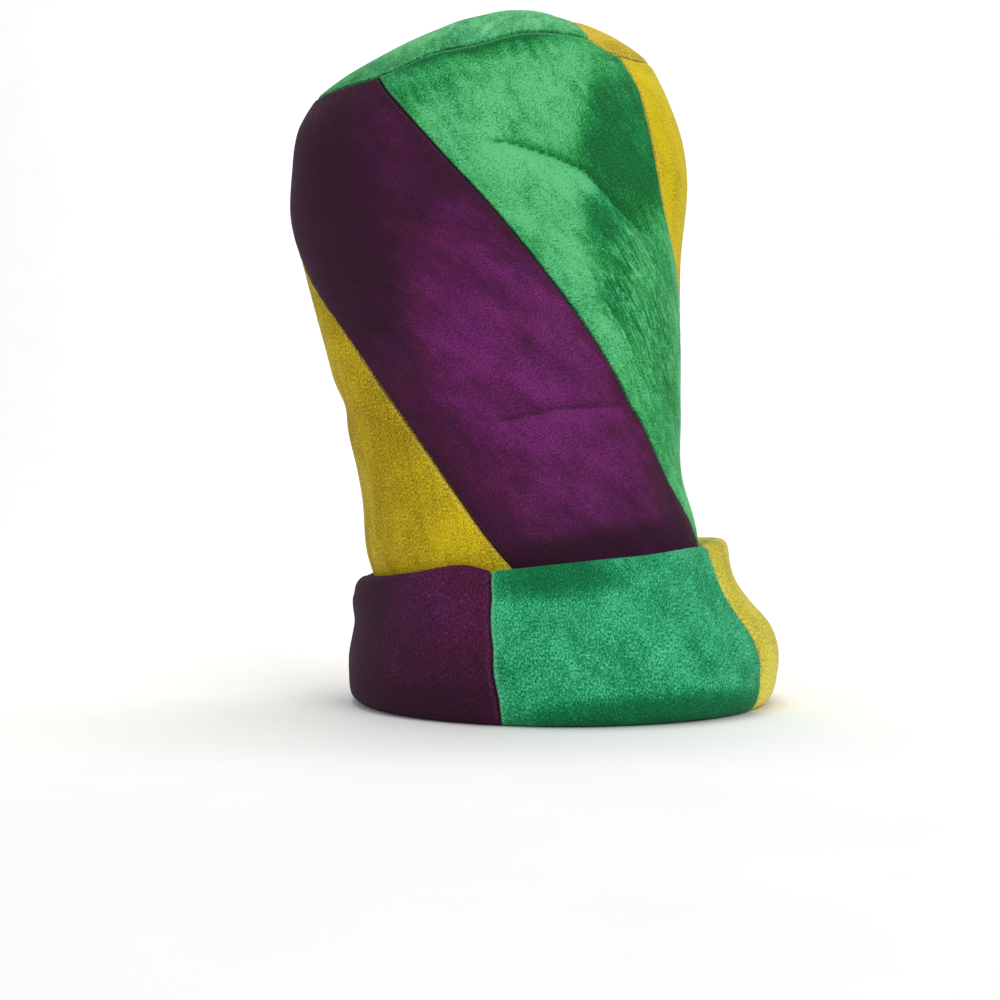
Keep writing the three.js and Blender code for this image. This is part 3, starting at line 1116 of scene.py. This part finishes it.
class Seam(Enum):
    """The seams between two colours, by their columns in the tables."""

    GOLD_PURPLE = "gold_purple"
    PURPLE_GREEN = "purple_green"
    GREEN_GOLD = "green_gold"
    GOLD_GOLD = "gold_gold"


class Grain(Enum):
    """Which way the pile runs on a crown strip."""

    SPIRAL = "along the strip"
    UPRIGHT = "straight up"


@dataclass
class ClothGrid:
    """A grid of points over one piece of cloth, [row, column], in mm."""

    outer: np.ndarray
    inner: np.ndarray
    cloth: np.ndarray
    nap: np.ndarray
    comb: np.ndarray
    seam: np.ndarray

    def attributes(self) -> dict[str, np.ndarray]:
        """What the finish reads at each point."""
        flat = np.concatenate([self.cloth, np.zeros(self.cloth.shape[:2] + (1,))], axis=-1)
        return {"cloth": flat, "nap": self.nap, "comb": self.comb, "seam": self.seam}


@dataclass
class Seamstress:
    """Turns grids of cloth into dressed pieces."""

    finishes: dict[Cloth, bpy.types.Material]
    turned: dict[Cloth, bpy.types.Material]
    backing: bpy.types.Material
    smooth_deg: float = 60.0    # sharper edges than this aren't shaded smooth

    def piece(self, node: str, cloth: Cloth, grid: ClothGrid, flat: tuple[float, float],
              turned: bool) -> bpy.types.Object:
        """Makes the piece that stands for one node.

        Args:
            node: the node's name.
            cloth: which velvet it is cut from.
            grid: its points.
            flat: width and length in metres of the rectangle that it was cut from; not used.
            turned: whether the cloth is turned up, so that its pile lies the other way and it takes the
                cuff's velvets, whose colours paint the cuff's light.

        Returns:
            The finished piece.
        """
        rows, columns = grid.outer.shape[:2]
        bpy.ops.object.select_all(action="DESELECT")
        bpy.ops.mesh.primitive_grid_add(x_subdivisions=columns - 1, y_subdivisions=rows - 1, calc_uvs=False)
        piece = bpy.context.object
        piece.name = f"velvet_{node}"
        piece.data.name = piece.name
        for name, values in grid.attributes().items():
            kind, field = ("FLOAT", "value") if values.ndim == 2 else ("FLOAT_VECTOR", "vector")
            layer = piece.data.attributes.new(name, kind, "POINT")
            layer.data.foreach_set(field, values.astype(np.float32).ravel())
        velvet = self.turned[cloth] if turned else self.finishes[cloth]
        for material in (velvet, self.backing):
            piece.data.materials.append(material)
        bpy.ops.object.modifier_add(type="SOLIDIFY")
        wall = piece.modifiers[-1]
        wall.thickness = WALL * MM
        wall.offset = -1
        wall.material_offset = 1
        bpy.ops.object.modifier_apply(modifier=wall.name)
        middle = np.array([*PIECES_MIDDLE, 0])
        points = np.concatenate([grid.outer.reshape(-1, 3), grid.inner.reshape(-1, 3)]) + middle
        piece.data.vertices.foreach_set("co", (points * MM).astype(np.float32).ravel())
        piece.data.update()
        bpy.ops.object.shade_smooth_by_angle(angle=math.radians(self.smooth_deg))
        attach(piece, "root")
        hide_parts(node)
        return piece


@dataclass
class ClothPiece(ABC):
    """A piece of the hat that stands for one node.

    flat is the width and length in metres of the rectangle that it was cut from. A turned piece is turned
    up, so that its pile lies the other way, and takes the velvets whose colours paint the cuff's light.
    """

    turned: ClassVar[bool] = False

    node: str
    cloth: Cloth
    pile: Pile
    flat: tuple[float, float]

    @abstractmethod
    def grid(self, form: HatForm, relief: Relief) -> ClothGrid:
        """Lays the piece's cloth over the form.

        Args:
            form: the hat's smooth form.
            relief: folds, creases and seams.

        Returns:
            The grid of its points.
        """

    def build(self, form: HatForm, relief: Relief, seamstress: Seamstress) -> bpy.types.Object:
        """Makes the piece."""
        return seamstress.piece(self.node, self.cloth, self.grid(form, relief), self.flat, self.turned)


@dataclass
class CrownStrip(ClothPiece):
    """A spiral strip of the crown, from its lower edge inside the cuff up to the tip seam."""

    left: Seam
    right: Seam
    turn: float = 0.0           # added to the right seam's azimuth
    grain: Grain = Grain.SPIRAL
    low_edge: float = WALL + 0.5    # just above the cuff's underside
    hidden_top: float = 62.0
    hidden_rows: int = 12

    def heights(self) -> np.ndarray:
        """Heights of the grid's rows, coarse where the cuff hides the strip.

        Returns:
            The heights from the lower edge up.
        """
        top = TIP_SEAM - SEAM_GAP / 2
        shown = graded(top - self.hidden_top, (False, True))
        hidden = np.linspace(self.low_edge, self.hidden_top, self.hidden_rows, endpoint=False)
        return np.concatenate([hidden, self.hidden_top + (top - self.hidden_top) * shown])

    def grid(self, form: HatForm, relief: Relief) -> ClothGrid:
        """Lays the strip's cloth over the form.

        Args:
            form: the hat's smooth form.
            relief: folds, creases and seams.

        Returns:
            The grid of its points.
        """
        height = self.heights()[:, None]
        girth = CROWN_OVALS.read("half_width", height)
        gap = np.degrees(SEAM_GAP / 2 / girth)
        left = SPIRAL_SEAMS.read(self.left.value, height) + gap
        right = SPIRAL_SEAMS.read(self.right.value, height) + self.turn - gap
        width = np.radians(right - left) * girth
        share = graded(float(width.mean()))[None, :]
        azimuth = left + (right - left) * share
        around = np.radians(azimuth) * girth
        middle = np.radians((left + right) / 2) * girth
        step = np.hypot(np.diff(middle, axis=0), np.diff(height, axis=0))
        along = np.concatenate([[[0.0]], np.cumsum(step, axis=0)])
        height, along = (np.broadcast_to(column, azimuth.shape) for column in (height, along))
        side = np.minimum(share, 1 - share) * width
        top = TIP_SEAM - height
        edge = np.minimum(side, top)
        face = form.crown_point(azimuth, height)
        normal = form.rim_normal(form.crown_normal(azimuth, height), azimuth, top)
        level = np.array([1, 1, 0])
        normal[0] = unit(normal[0] * level)
        seams = np.minimum(relief.seam(side, along), relief.seam(top, around))
        soft = relief.folds(azimuth, height) + relief.creases(azimuth, height)
        soft += relief.uneven(around, height) * smooth(0, relief.uneven_start, edge)
        outer = face + normal * (soft + seams)[..., None]
        inner = face + normal * (soft - WALL - relief.pull)[..., None]
        spiral = np.stack([(share - 0.5) * width, along], axis=-1)
        upright = np.stack([np.radians(azimuth) * FOLD_GIRTH, height], axis=-1)
        cloth = spiral if self.grain is Grain.SPIRAL else upright
        # darker beside the seams, partly parted pile and partly painted shade, plus the creases' painted
        # shade and highlight
        nap = self.pile.nap.level(azimuth, height) - self.pile.parting * relief.parted(edge)
        nap += relief.crease_shade(azimuth, height)
        return ClothGrid(outer, inner, cloth, nap, self.pile.comb.level(azimuth, height), edge)


@dataclass
class TipPiece(ClothPiece):
    """A part of the domed tip between the straight seam across it and the rim."""

    start: float
    end: float
    corner: float = 0.24        # share of the rim that bounds the grid's left and right sides
    chord_depth: float = 0.5    # the seam across the tip is drawn less tight

    def on_disc(self, azimuth: np.ndarray) -> np.ndarray:
        """Points of the unit circle at azimuths."""
        angle = np.radians(azimuth)
        return np.stack([np.sin(angle), -np.cos(angle)], axis=-1)

    def disc(self, across: np.ndarray, up: np.ndarray, gap: float) -> np.ndarray:
        """Spreads a square grid over the piece: the straight seam below, the rim on the other sides.

        Args:
            across: shares along the straight seam.
            up: shares from that seam to the rim.
            gap: half of the seam gap as an angle in degrees.

        Returns:
            Places on the unit disc, [row, column].
        """
        start, end = self.start + gap, self.end - gap
        bend = (end - start) * self.corner
        u = across[None, :, None]
        v = up[:, None, None]
        left = self.on_disc(start + bend * up)[:, None]
        right = self.on_disc(end - bend * up)[:, None]
        far_rim = self.on_disc(start + bend + (end - start - 2 * bend) * across)[None]
        far_line = (1 - u) * self.on_disc(start + bend) + u * self.on_disc(end - bend)
        return (1 - u) * left + u * right + v * (far_rim - far_line)

    def grid(self, form: HatForm, relief: Relief) -> ClothGrid:
        """Lays the piece's cloth over the dome.

        Args:
            form: the hat's smooth form.
            relief: folds, creases and seams.

        Returns:
            The grid of its points.
        """
        rim = form.crown_oval(np.array(TIP_SEAM))
        size = np.array([rim.half_width, rim.half_depth])
        rim_reach = 1 - SEAM_GAP / 2 / float(rim.half_width)
        half_gap = math.degrees(1 - rim_reach)
        chord_start = self.on_disc(self.start) * size
        chord = self.on_disc(self.end) * size - chord_start
        across = graded(float(np.linalg.norm(chord)))
        up = graded(self.flat[0] / MM)
        place = self.disc(across, up, half_gap)[::-1] * rim_reach
        flat = place * size
        reach = np.minimum(np.linalg.norm(place, axis=-1), rim_reach)
        azimuth = np.degrees(np.arctan2(place[..., 0], -place[..., 1]))
        line = unit(chord)
        away = flat - chord_start
        from_chord = np.abs(line[0] * away[..., 1] - line[1] * away[..., 0])
        from_rim = (1 - reach) * np.linalg.norm(self.on_disc(azimuth) * size, axis=-1)
        edge = np.minimum(from_rim, from_chord)
        face = form.tip_point(azimuth, reach)
        normal = form.rim_normal(form.tip_normal(azimuth, reach), azimuth, from_rim)
        rim_seam = relief.seam(from_rim, np.radians(azimuth) * float(rim.half_width))
        chord_seam = self.chord_depth * relief.seam(from_chord, away @ line)
        soft = relief.uneven(flat[..., 0], flat[..., 1]) * smooth(0, relief.uneven_start, edge)
        outer = face + normal * (soft + np.minimum(rim_seam, chord_seam))[..., None]
        inner = face + normal * (soft - WALL - relief.pull)[..., None]
        height = TIP_SEAM + from_rim
        # darker beside the seams, partly parted pile and partly painted shade
        nap = self.pile.nap.level(azimuth, height) - self.pile.parting * relief.parted(edge)
        return ClothGrid(outer, inner, flat, nap, self.pile.comb.level(azimuth, height), edge)


@dataclass
class CuffBlock(ClothPiece):
    """A block of the turned-up cuff between two upright seams, one folded layer of cloth."""

    turned: ClassVar[bool] = True

    left: Seam
    right: Seam
    turn: float = 0.0           # added to the right seam's azimuth
    fold_rise: float = 7.0
    fold_steps: int = 6
    hem_low: float = 42.0
    hem_clearance: float = 0.8
    flat_reach: float = 3.0
    floor_low: float = 0.2      # heights between which the cloth leaves the floor
    floor_high: float = 5.0
    uneven_shift: float = 40.0  # so that the cuff's waves differ from the crown's

    def edges(self, height: float) -> tuple[float, float]:
        """Azimuths of the block's two seams at a height.

        Args:
            height: the height in mm.

        Returns:
            The azimuths of the left seam and the right one.
        """
        at = np.array(height)
        left, right = (float(CUFF_SEAMS.read(seam.value, at)) for seam in (self.left, self.right))
        return left, right + self.turn

    def corners(self, form: HatForm, share: np.ndarray) -> np.ndarray:
        """The cuff's outline from the underside up its side, over the top fold and down the hem.

        Args:
            form: the hat's smooth form.
            share: places between the block's two seams, from 0 to 1.

        Returns:
            The corners of the outline, [corner, place].
        """
        gap = math.degrees(SEAM_GAP / 2 / CUFF_OVALS[-1].half_width)

        def azimuth_at(height: float) -> np.ndarray:
            """Azimuths at a height up to the shoulder."""
            left, right = self.edges(height)
            return left + gap + (right - left - 2 * gap) * share

        low, high = azimuth_at(0), azimuth_at(CUFF_SHOULDER)
        lift = CUFF_WAVE.read("lift", in_turn(high))
        foot = form.crown_oval(np.array(0.0))
        path = [form.oval_point(foot, low, 0, grow) for grow in (-WALL, self.flat_reach)]
        for oval in CUFF_OVALS:
            raised = oval.height + lift * (oval.height / CUFF_SHOULDER) ** 2
            path.append(form.oval_point(oval, azimuth_at(oval.height), raised))

        def hem_point(height: np.ndarray) -> np.ndarray:
            """Points of the hem, close to the crown."""
            return form.oval_point(form.crown_oval(height), high, height, self.hem_clearance)

        inside = hem_point(CUFF_SHOULDER + lift)
        middle = (path[-1] + inside) / 2
        half = path[-1] - middle
        for step in range(1, self.fold_steps + 1):
            turn = math.pi * step / self.fold_steps
            path.append(middle + half * math.cos(turn) + np.array([0, 0, self.fold_rise * math.sin(turn)]))
        for height in ((CUFF_SHOULDER + self.hem_low) / 2, self.hem_low):
            path.append(hem_point(np.full_like(high, height)))
        return np.stack(path)

    def smooth_path(self, corners: np.ndarray) -> np.ndarray:
        """Rounds the outline off and splits it into even cells.

        Args:
            corners: the corners of the outline, [corner, place].

        Returns:
            The points of the outline, [row, place].
        """
        chords = np.linalg.norm(np.diff(corners, axis=0), axis=-1)
        tangent = np.empty_like(corners)
        tangent[1:-1] = (corners[2:] - corners[:-2]) / (chords[1:] + chords[:-1])[..., None]
        tangent[0] = unit(corners[1] - corners[0])
        tangent[-1] = unit(corners[-1] - corners[-2])
        rows = []
        for i in range(len(corners) - 1):
            leave, arrive = chords[i][:, None] * tangent[i:i + 2]
            for p in np.arange(0, 1, 1 / max(1, round(chords[i].mean() / CELL))):
                rows.append(curve(p, corners[i], corners[i + 1], leave, arrive))
        rows.append(corners[-1])
        path = np.stack(rows)
        path[..., 2] = np.maximum(path[..., 2], 0)
        return path

    def grid(self, form: HatForm, relief: Relief) -> ClothGrid:
        """Folds the block's cloth along the cuff's outline.

        Args:
            form: the hat's smooth form.
            relief: folds, creases and seams.

        Returns:
            The grid of its points.
        """
        girth = CUFF_OVALS[-1].half_width
        left, right = self.edges(CUFF_SHOULDER / 2)
        width = math.radians(right - left) * girth
        share = graded(width)
        face = self.smooth_path(self.corners(form, share))
        normal = unit(np.cross(np.gradient(face, axis=1), np.gradient(face, axis=0)))
        length = np.linalg.norm(np.diff(face, axis=0), axis=-1).mean(axis=1)
        rows = np.concatenate([[0.0], np.cumsum(length)])[:, None]
        from_seam = np.minimum(share, 1 - share) * width
        azimuth = left + (right - left) * share
        along, side, azimuth = np.broadcast_arrays(rows, from_seam, azimuth)
        around = np.radians(azimuth) * girth
        raised = smooth(self.floor_low, self.floor_high, face[..., 2])
        soft = relief.uneven(around + self.uneven_shift, along) * smooth(0, relief.uneven_start, side)
        outer = face + normal * ((soft + relief.seam(side, along)) * raised)[..., None]
        inner = face - normal * WALL
        cloth = np.stack([around, along], axis=-1)
        nap, comb = (field.level(azimuth, along) for field in (self.pile.nap, self.pile.comb))
        return ClothGrid(outer, inner, cloth, nap, comb, side)


def crown_strips() -> list[CrownStrip]:
    """The four strips of the crown with the lie of their pile and the shade and highlights painted into it.

    Returns:
        The strips, each beside the one before it.
    """
    purple = Pile(PatchField(
        0.3,
        # lighter in the middle and darker up the left: the pile's lie, partly painted light from the right
        Patch(8, 165, 48, 84, 30, 0.3, 0.6),
        Patch(-50, 258, 46, 70, 10, -0.22, 0.6),
        Patch(45, 112, 30, 24, 0, 0.06, 0.8),
        Patch(-28, 284, 13, 32, 5, 0.16, 0.8),
        # painted shadow of the cuff's top edge on the crown
        Patch(24, 82, 58, 6, 4, -0.28, 0.8),
    ), PatchField(0.2))
    green = Pile(PatchField(
        0.65,
        Patch(48, 280, 27, 42, 0, -0.43, 0.45),
        Patch(33, 282, 9, 16, -20, -0.22, 0.7),
        Patch(32, 267, 15, 8, -36, -0.22, 0.7),
        Patch(52, 205, 26, 62, 20, -0.28, 0.6),
        Patch(34, 240, 6, 12, 25, -0.25, 0.7),
        Patch(35, 212, 7, 30, 20, -0.18, 0.8),
        # darker towards the lower right edge: painted shade
        Patch(64, 150, 20, 40, 20, -0.12, 0.7),
        # painted shade under the tip seam
        Patch(-20, 314, 27, 12, 0, -0.32, 0.8),
        Patch(14, 325, 26, 8, 0, -0.25, 0.8),
        Patch(-3, 327, 42, 3.5, 0, -0.4, 0.6),
    ), PatchField(0.08, Patch(52, 196, 27, 46, 20, 0.75, 0.5)))
    gold_left = Pile(PatchField(
        0.56,
        # darker on the hat's left: painted shade on the side away from the light
        Patch(-62, 165, 62, 100, 0, -0.11, 0.5),
        Patch(-45, 140, 16, 30, 0, -0.06, 0.8),
    ), PatchField(0.4), parting=GOLD_PARTING_SHADE)
    gold_right = Pile(PatchField(
        0.56,
        # lighter on the hat's right: painted light on the lit side
        Patch(62, 280, 60, 80, 0, 0.12, 0.6),
    ), PatchField(0.1), parting=GOLD_PARTING_SHADE)
    return [
        CrownStrip("crown_strip_purple", Cloth.PURPLE, purple, (0.17, 0.40),
                   Seam.GOLD_PURPLE, Seam.PURPLE_GREEN),
        CrownStrip("crown_strip_green", Cloth.GREEN, green, (0.13, 0.40),
                   Seam.PURPLE_GREEN, Seam.GREEN_GOLD),
        CrownStrip("crown_strip_gold_right", Cloth.GOLD, gold_right, (0.20, 0.40),
                   Seam.GREEN_GOLD, Seam.GOLD_GOLD),
        CrownStrip("crown_strip_gold_left", Cloth.GOLD, gold_left, (0.20, 0.40),
                   Seam.GOLD_GOLD, Seam.GOLD_PURPLE, turn=360, grain=Grain.UPRIGHT),
    ]


def tip_pieces() -> list[TipPiece]:
    """The two pieces of the tip.

    Returns:
        The gold piece and the green one.
    """
    front, back = 38.4, 160.1
    plain = PatchField(0.2)
    gold = Pile(PatchField(0.56), plain, parting=GOLD_PARTING_SHADE)
    # the green tip's patch is painted shade on its left near the rim
    green = Pile(PatchField(0.54, Patch(-55, 334, 55, 12, 0, -0.2, 0.8)), plain)
    return [
        TipPiece("tip_gold", Cloth.GOLD, gold, (0.06, 0.14), front, back),
        TipPiece("tip_green", Cloth.GREEN, green, (0.145, 0.17), back, front + 360),
    ]


def cuff_blocks() -> list[CuffBlock]:
    """The three blocks of the cuff. A patch's height is measured along the cloth from its inner edge.

    Returns:
        The blocks from left to right.
    """
    purple = Pile(PatchField(
        0.3,
        # painted highlight on the upper middle
        Patch(-28, 76, 30, 20, 0, 0.2, 0.8),
        Patch(-40, 26, 60, 10, 0, -0.16, 0.6),
        # darker at the left end: painted shade on the side away from the light
        Patch(-76, 62, 36, 60, 0, -0.2, 0.6),
    ), PatchField(0.1))
    green = Pile(PatchField(
        0.56,
        Patch(2, 97, 28, 9, 0, -0.38, 0.8),
        Patch(28, 24, 62, 10, 0, -0.4, 0.5),
    ), PatchField(0.1))
    # the gold patch is a painted highlight near the bottom
    gold = Pile(PatchField(0.6, Patch(64, 32, 20, 16, 0, 0.25, 0.8)), PatchField(0.3))
    return [
        CuffBlock("cuff_purple", Cloth.PURPLE, purple, (0.17, 0.28),
                  Seam.GOLD_PURPLE, Seam.PURPLE_GREEN, turn=360),
        CuffBlock("cuff_green", Cloth.GREEN, green, (0.17, 0.15),
                  Seam.PURPLE_GREEN, Seam.GREEN_GOLD),
        CuffBlock("cuff_gold", Cloth.GOLD, gold, (0.17, 0.28),
                  Seam.GREEN_GOLD, Seam.GOLD_PURPLE),
    ]


# Studio


@dataclass(frozen=True)
class SoftLight:
    """A soft square light: its place and side in metres, its power and the point that it faces."""

    name: str
    place: tuple[float, float, float]
    size: float
    watts: float
    target: tuple[float, float, float] = (0, 0, 0.18)

    def build(self) -> None:
        """Adds the light, unseen by the camera."""
        bpy.ops.object.light_add(type="AREA", location=self.place)
        light = bpy.context.object
        light.name = self.name
        light.data.size = self.size
        light.data.energy = self.watts
        way = Vector(self.target) - Vector(self.place)
        light.rotation_euler = way.to_track_quat("-Z", "Y").to_euler()
        light.visible_camera = False


LIGHTS = [
    SoftLight("key", (0.9, -1.3, 1.0), 0.9, 11),
    SoftLight("fill", (-1.2, -1.0, 0.6), 1.2, 4),
    SoftLight("top", (0, 0.1, 1.7), 1.2, 7),
    SoftLight("backdrop", (0, 0.9, 2.6), 1.6, 60, (0, 3.5, 0.9)),
]


@dataclass
class Studio:
    """A paper sweep, soft lights and the camera. Sizes are in metres."""

    eye: tuple[float, float, float] = (0.01151, -0.85, 0.106)
    yaw_deg: float = 1.95
    lens_mm: float = 57.2
    sensor_mm: float = 36.0
    sweep_size: float = 7.0
    sweep_rise: float = 4.0
    sweep_bend: float = 1.2
    sweep_steps: int = 24
    daylight: str = "#ffffff"
    daylight_strength: float = 0.5

    def select_back_edge(self, sweep: bpy.types.Object) -> None:
        """Selects the floor's back edge alone.

        Args:
            sweep: the sweep's object.
        """
        floor_back = {v.index for v in sweep.data.vertices if v.co.y > 0 and v.co.z < self.sweep_rise / 2}
        for vertex in sweep.data.vertices:
            vertex.select = vertex.index in floor_back
        for edge in sweep.data.edges:
            edge.select = floor_back.issuperset(edge.vertices)
        for polygon in sweep.data.polygons:
            polygon.select = False

    def sweep(self) -> bpy.types.Object:
        """Makes the floor and, in one sweep, the wall behind it.

        Returns:
            The sweep's object.
        """
        bpy.ops.object.select_all(action="DESELECT")
        bpy.ops.mesh.primitive_plane_add(size=self.sweep_size, calc_uvs=False)
        sweep = bpy.context.object
        sweep.name = "paper_sweep"
        self.select_back_edge(sweep)
        bpy.ops.object.mode_set(mode="EDIT")
        bpy.ops.mesh.select_mode(type="EDGE")
        bpy.ops.mesh.extrude_region_move(TRANSFORM_OT_translate={"value": (0, 0, self.sweep_rise)})
        bpy.ops.object.mode_set(mode="OBJECT")
        self.select_back_edge(sweep)
        bpy.ops.object.mode_set(mode="EDIT")
        bpy.ops.mesh.bevel(offset=self.sweep_bend, segments=self.sweep_steps, affect="EDGES")
        bpy.ops.object.mode_set(mode="OBJECT")
        bpy.ops.object.shade_smooth()
        sweep.data.materials.append(PaperFinish().material())
        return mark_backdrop(sweep)

    def camera(self) -> None:
        """Adds the camera, level, in front of the hat."""
        bpy.ops.object.camera_add(location=self.eye, rotation=(math.pi / 2, 0, math.radians(self.yaw_deg)))
        camera = bpy.context.object
        camera.data.lens = self.lens_mm
        camera.data.sensor_width = self.sensor_mm
        bpy.context.scene.camera = camera

    def surroundings(self) -> None:
        """Fills the room with even light and keeps the colours plain."""
        world = bpy.data.worlds.new("studio")
        world.use_nodes = True
        background = world.node_tree.nodes["Background"]
        background.inputs["Color"].default_value = linear(self.daylight)
        background.inputs["Strength"].default_value = self.daylight_strength
        bpy.context.scene.world = world
        bpy.context.scene.view_settings.view_transform = "Standard"

    def build(self) -> None:
        """Sets the whole studio up."""
        self.camera()
        self.sweep()
        for light in LIGHTS:
            light.build()
        self.surroundings()


def main() -> None:
    """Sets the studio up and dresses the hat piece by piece."""
    logging.basicConfig(level=logging.INFO, format="%(message)s")
    Studio().build()
    form = HatForm()
    relief = Relief()
    finishes, turned = ({cloth: velvet.material() for cloth, velvet in velvets.items()}
                        for velvets in (VELVETS, TURNED_RELIT_VELVETS))
    seamstress = Seamstress(finishes, turned, FoamBackingFinish().material())
    for part in (*crown_strips(), *tip_pieces(), *cuff_blocks()):
        piece = part.build(form, relief, seamstress)
        log.info("%s: %d faces", piece.name, len(piece.data.polygons))


if __name__ == "__main__":
    main()
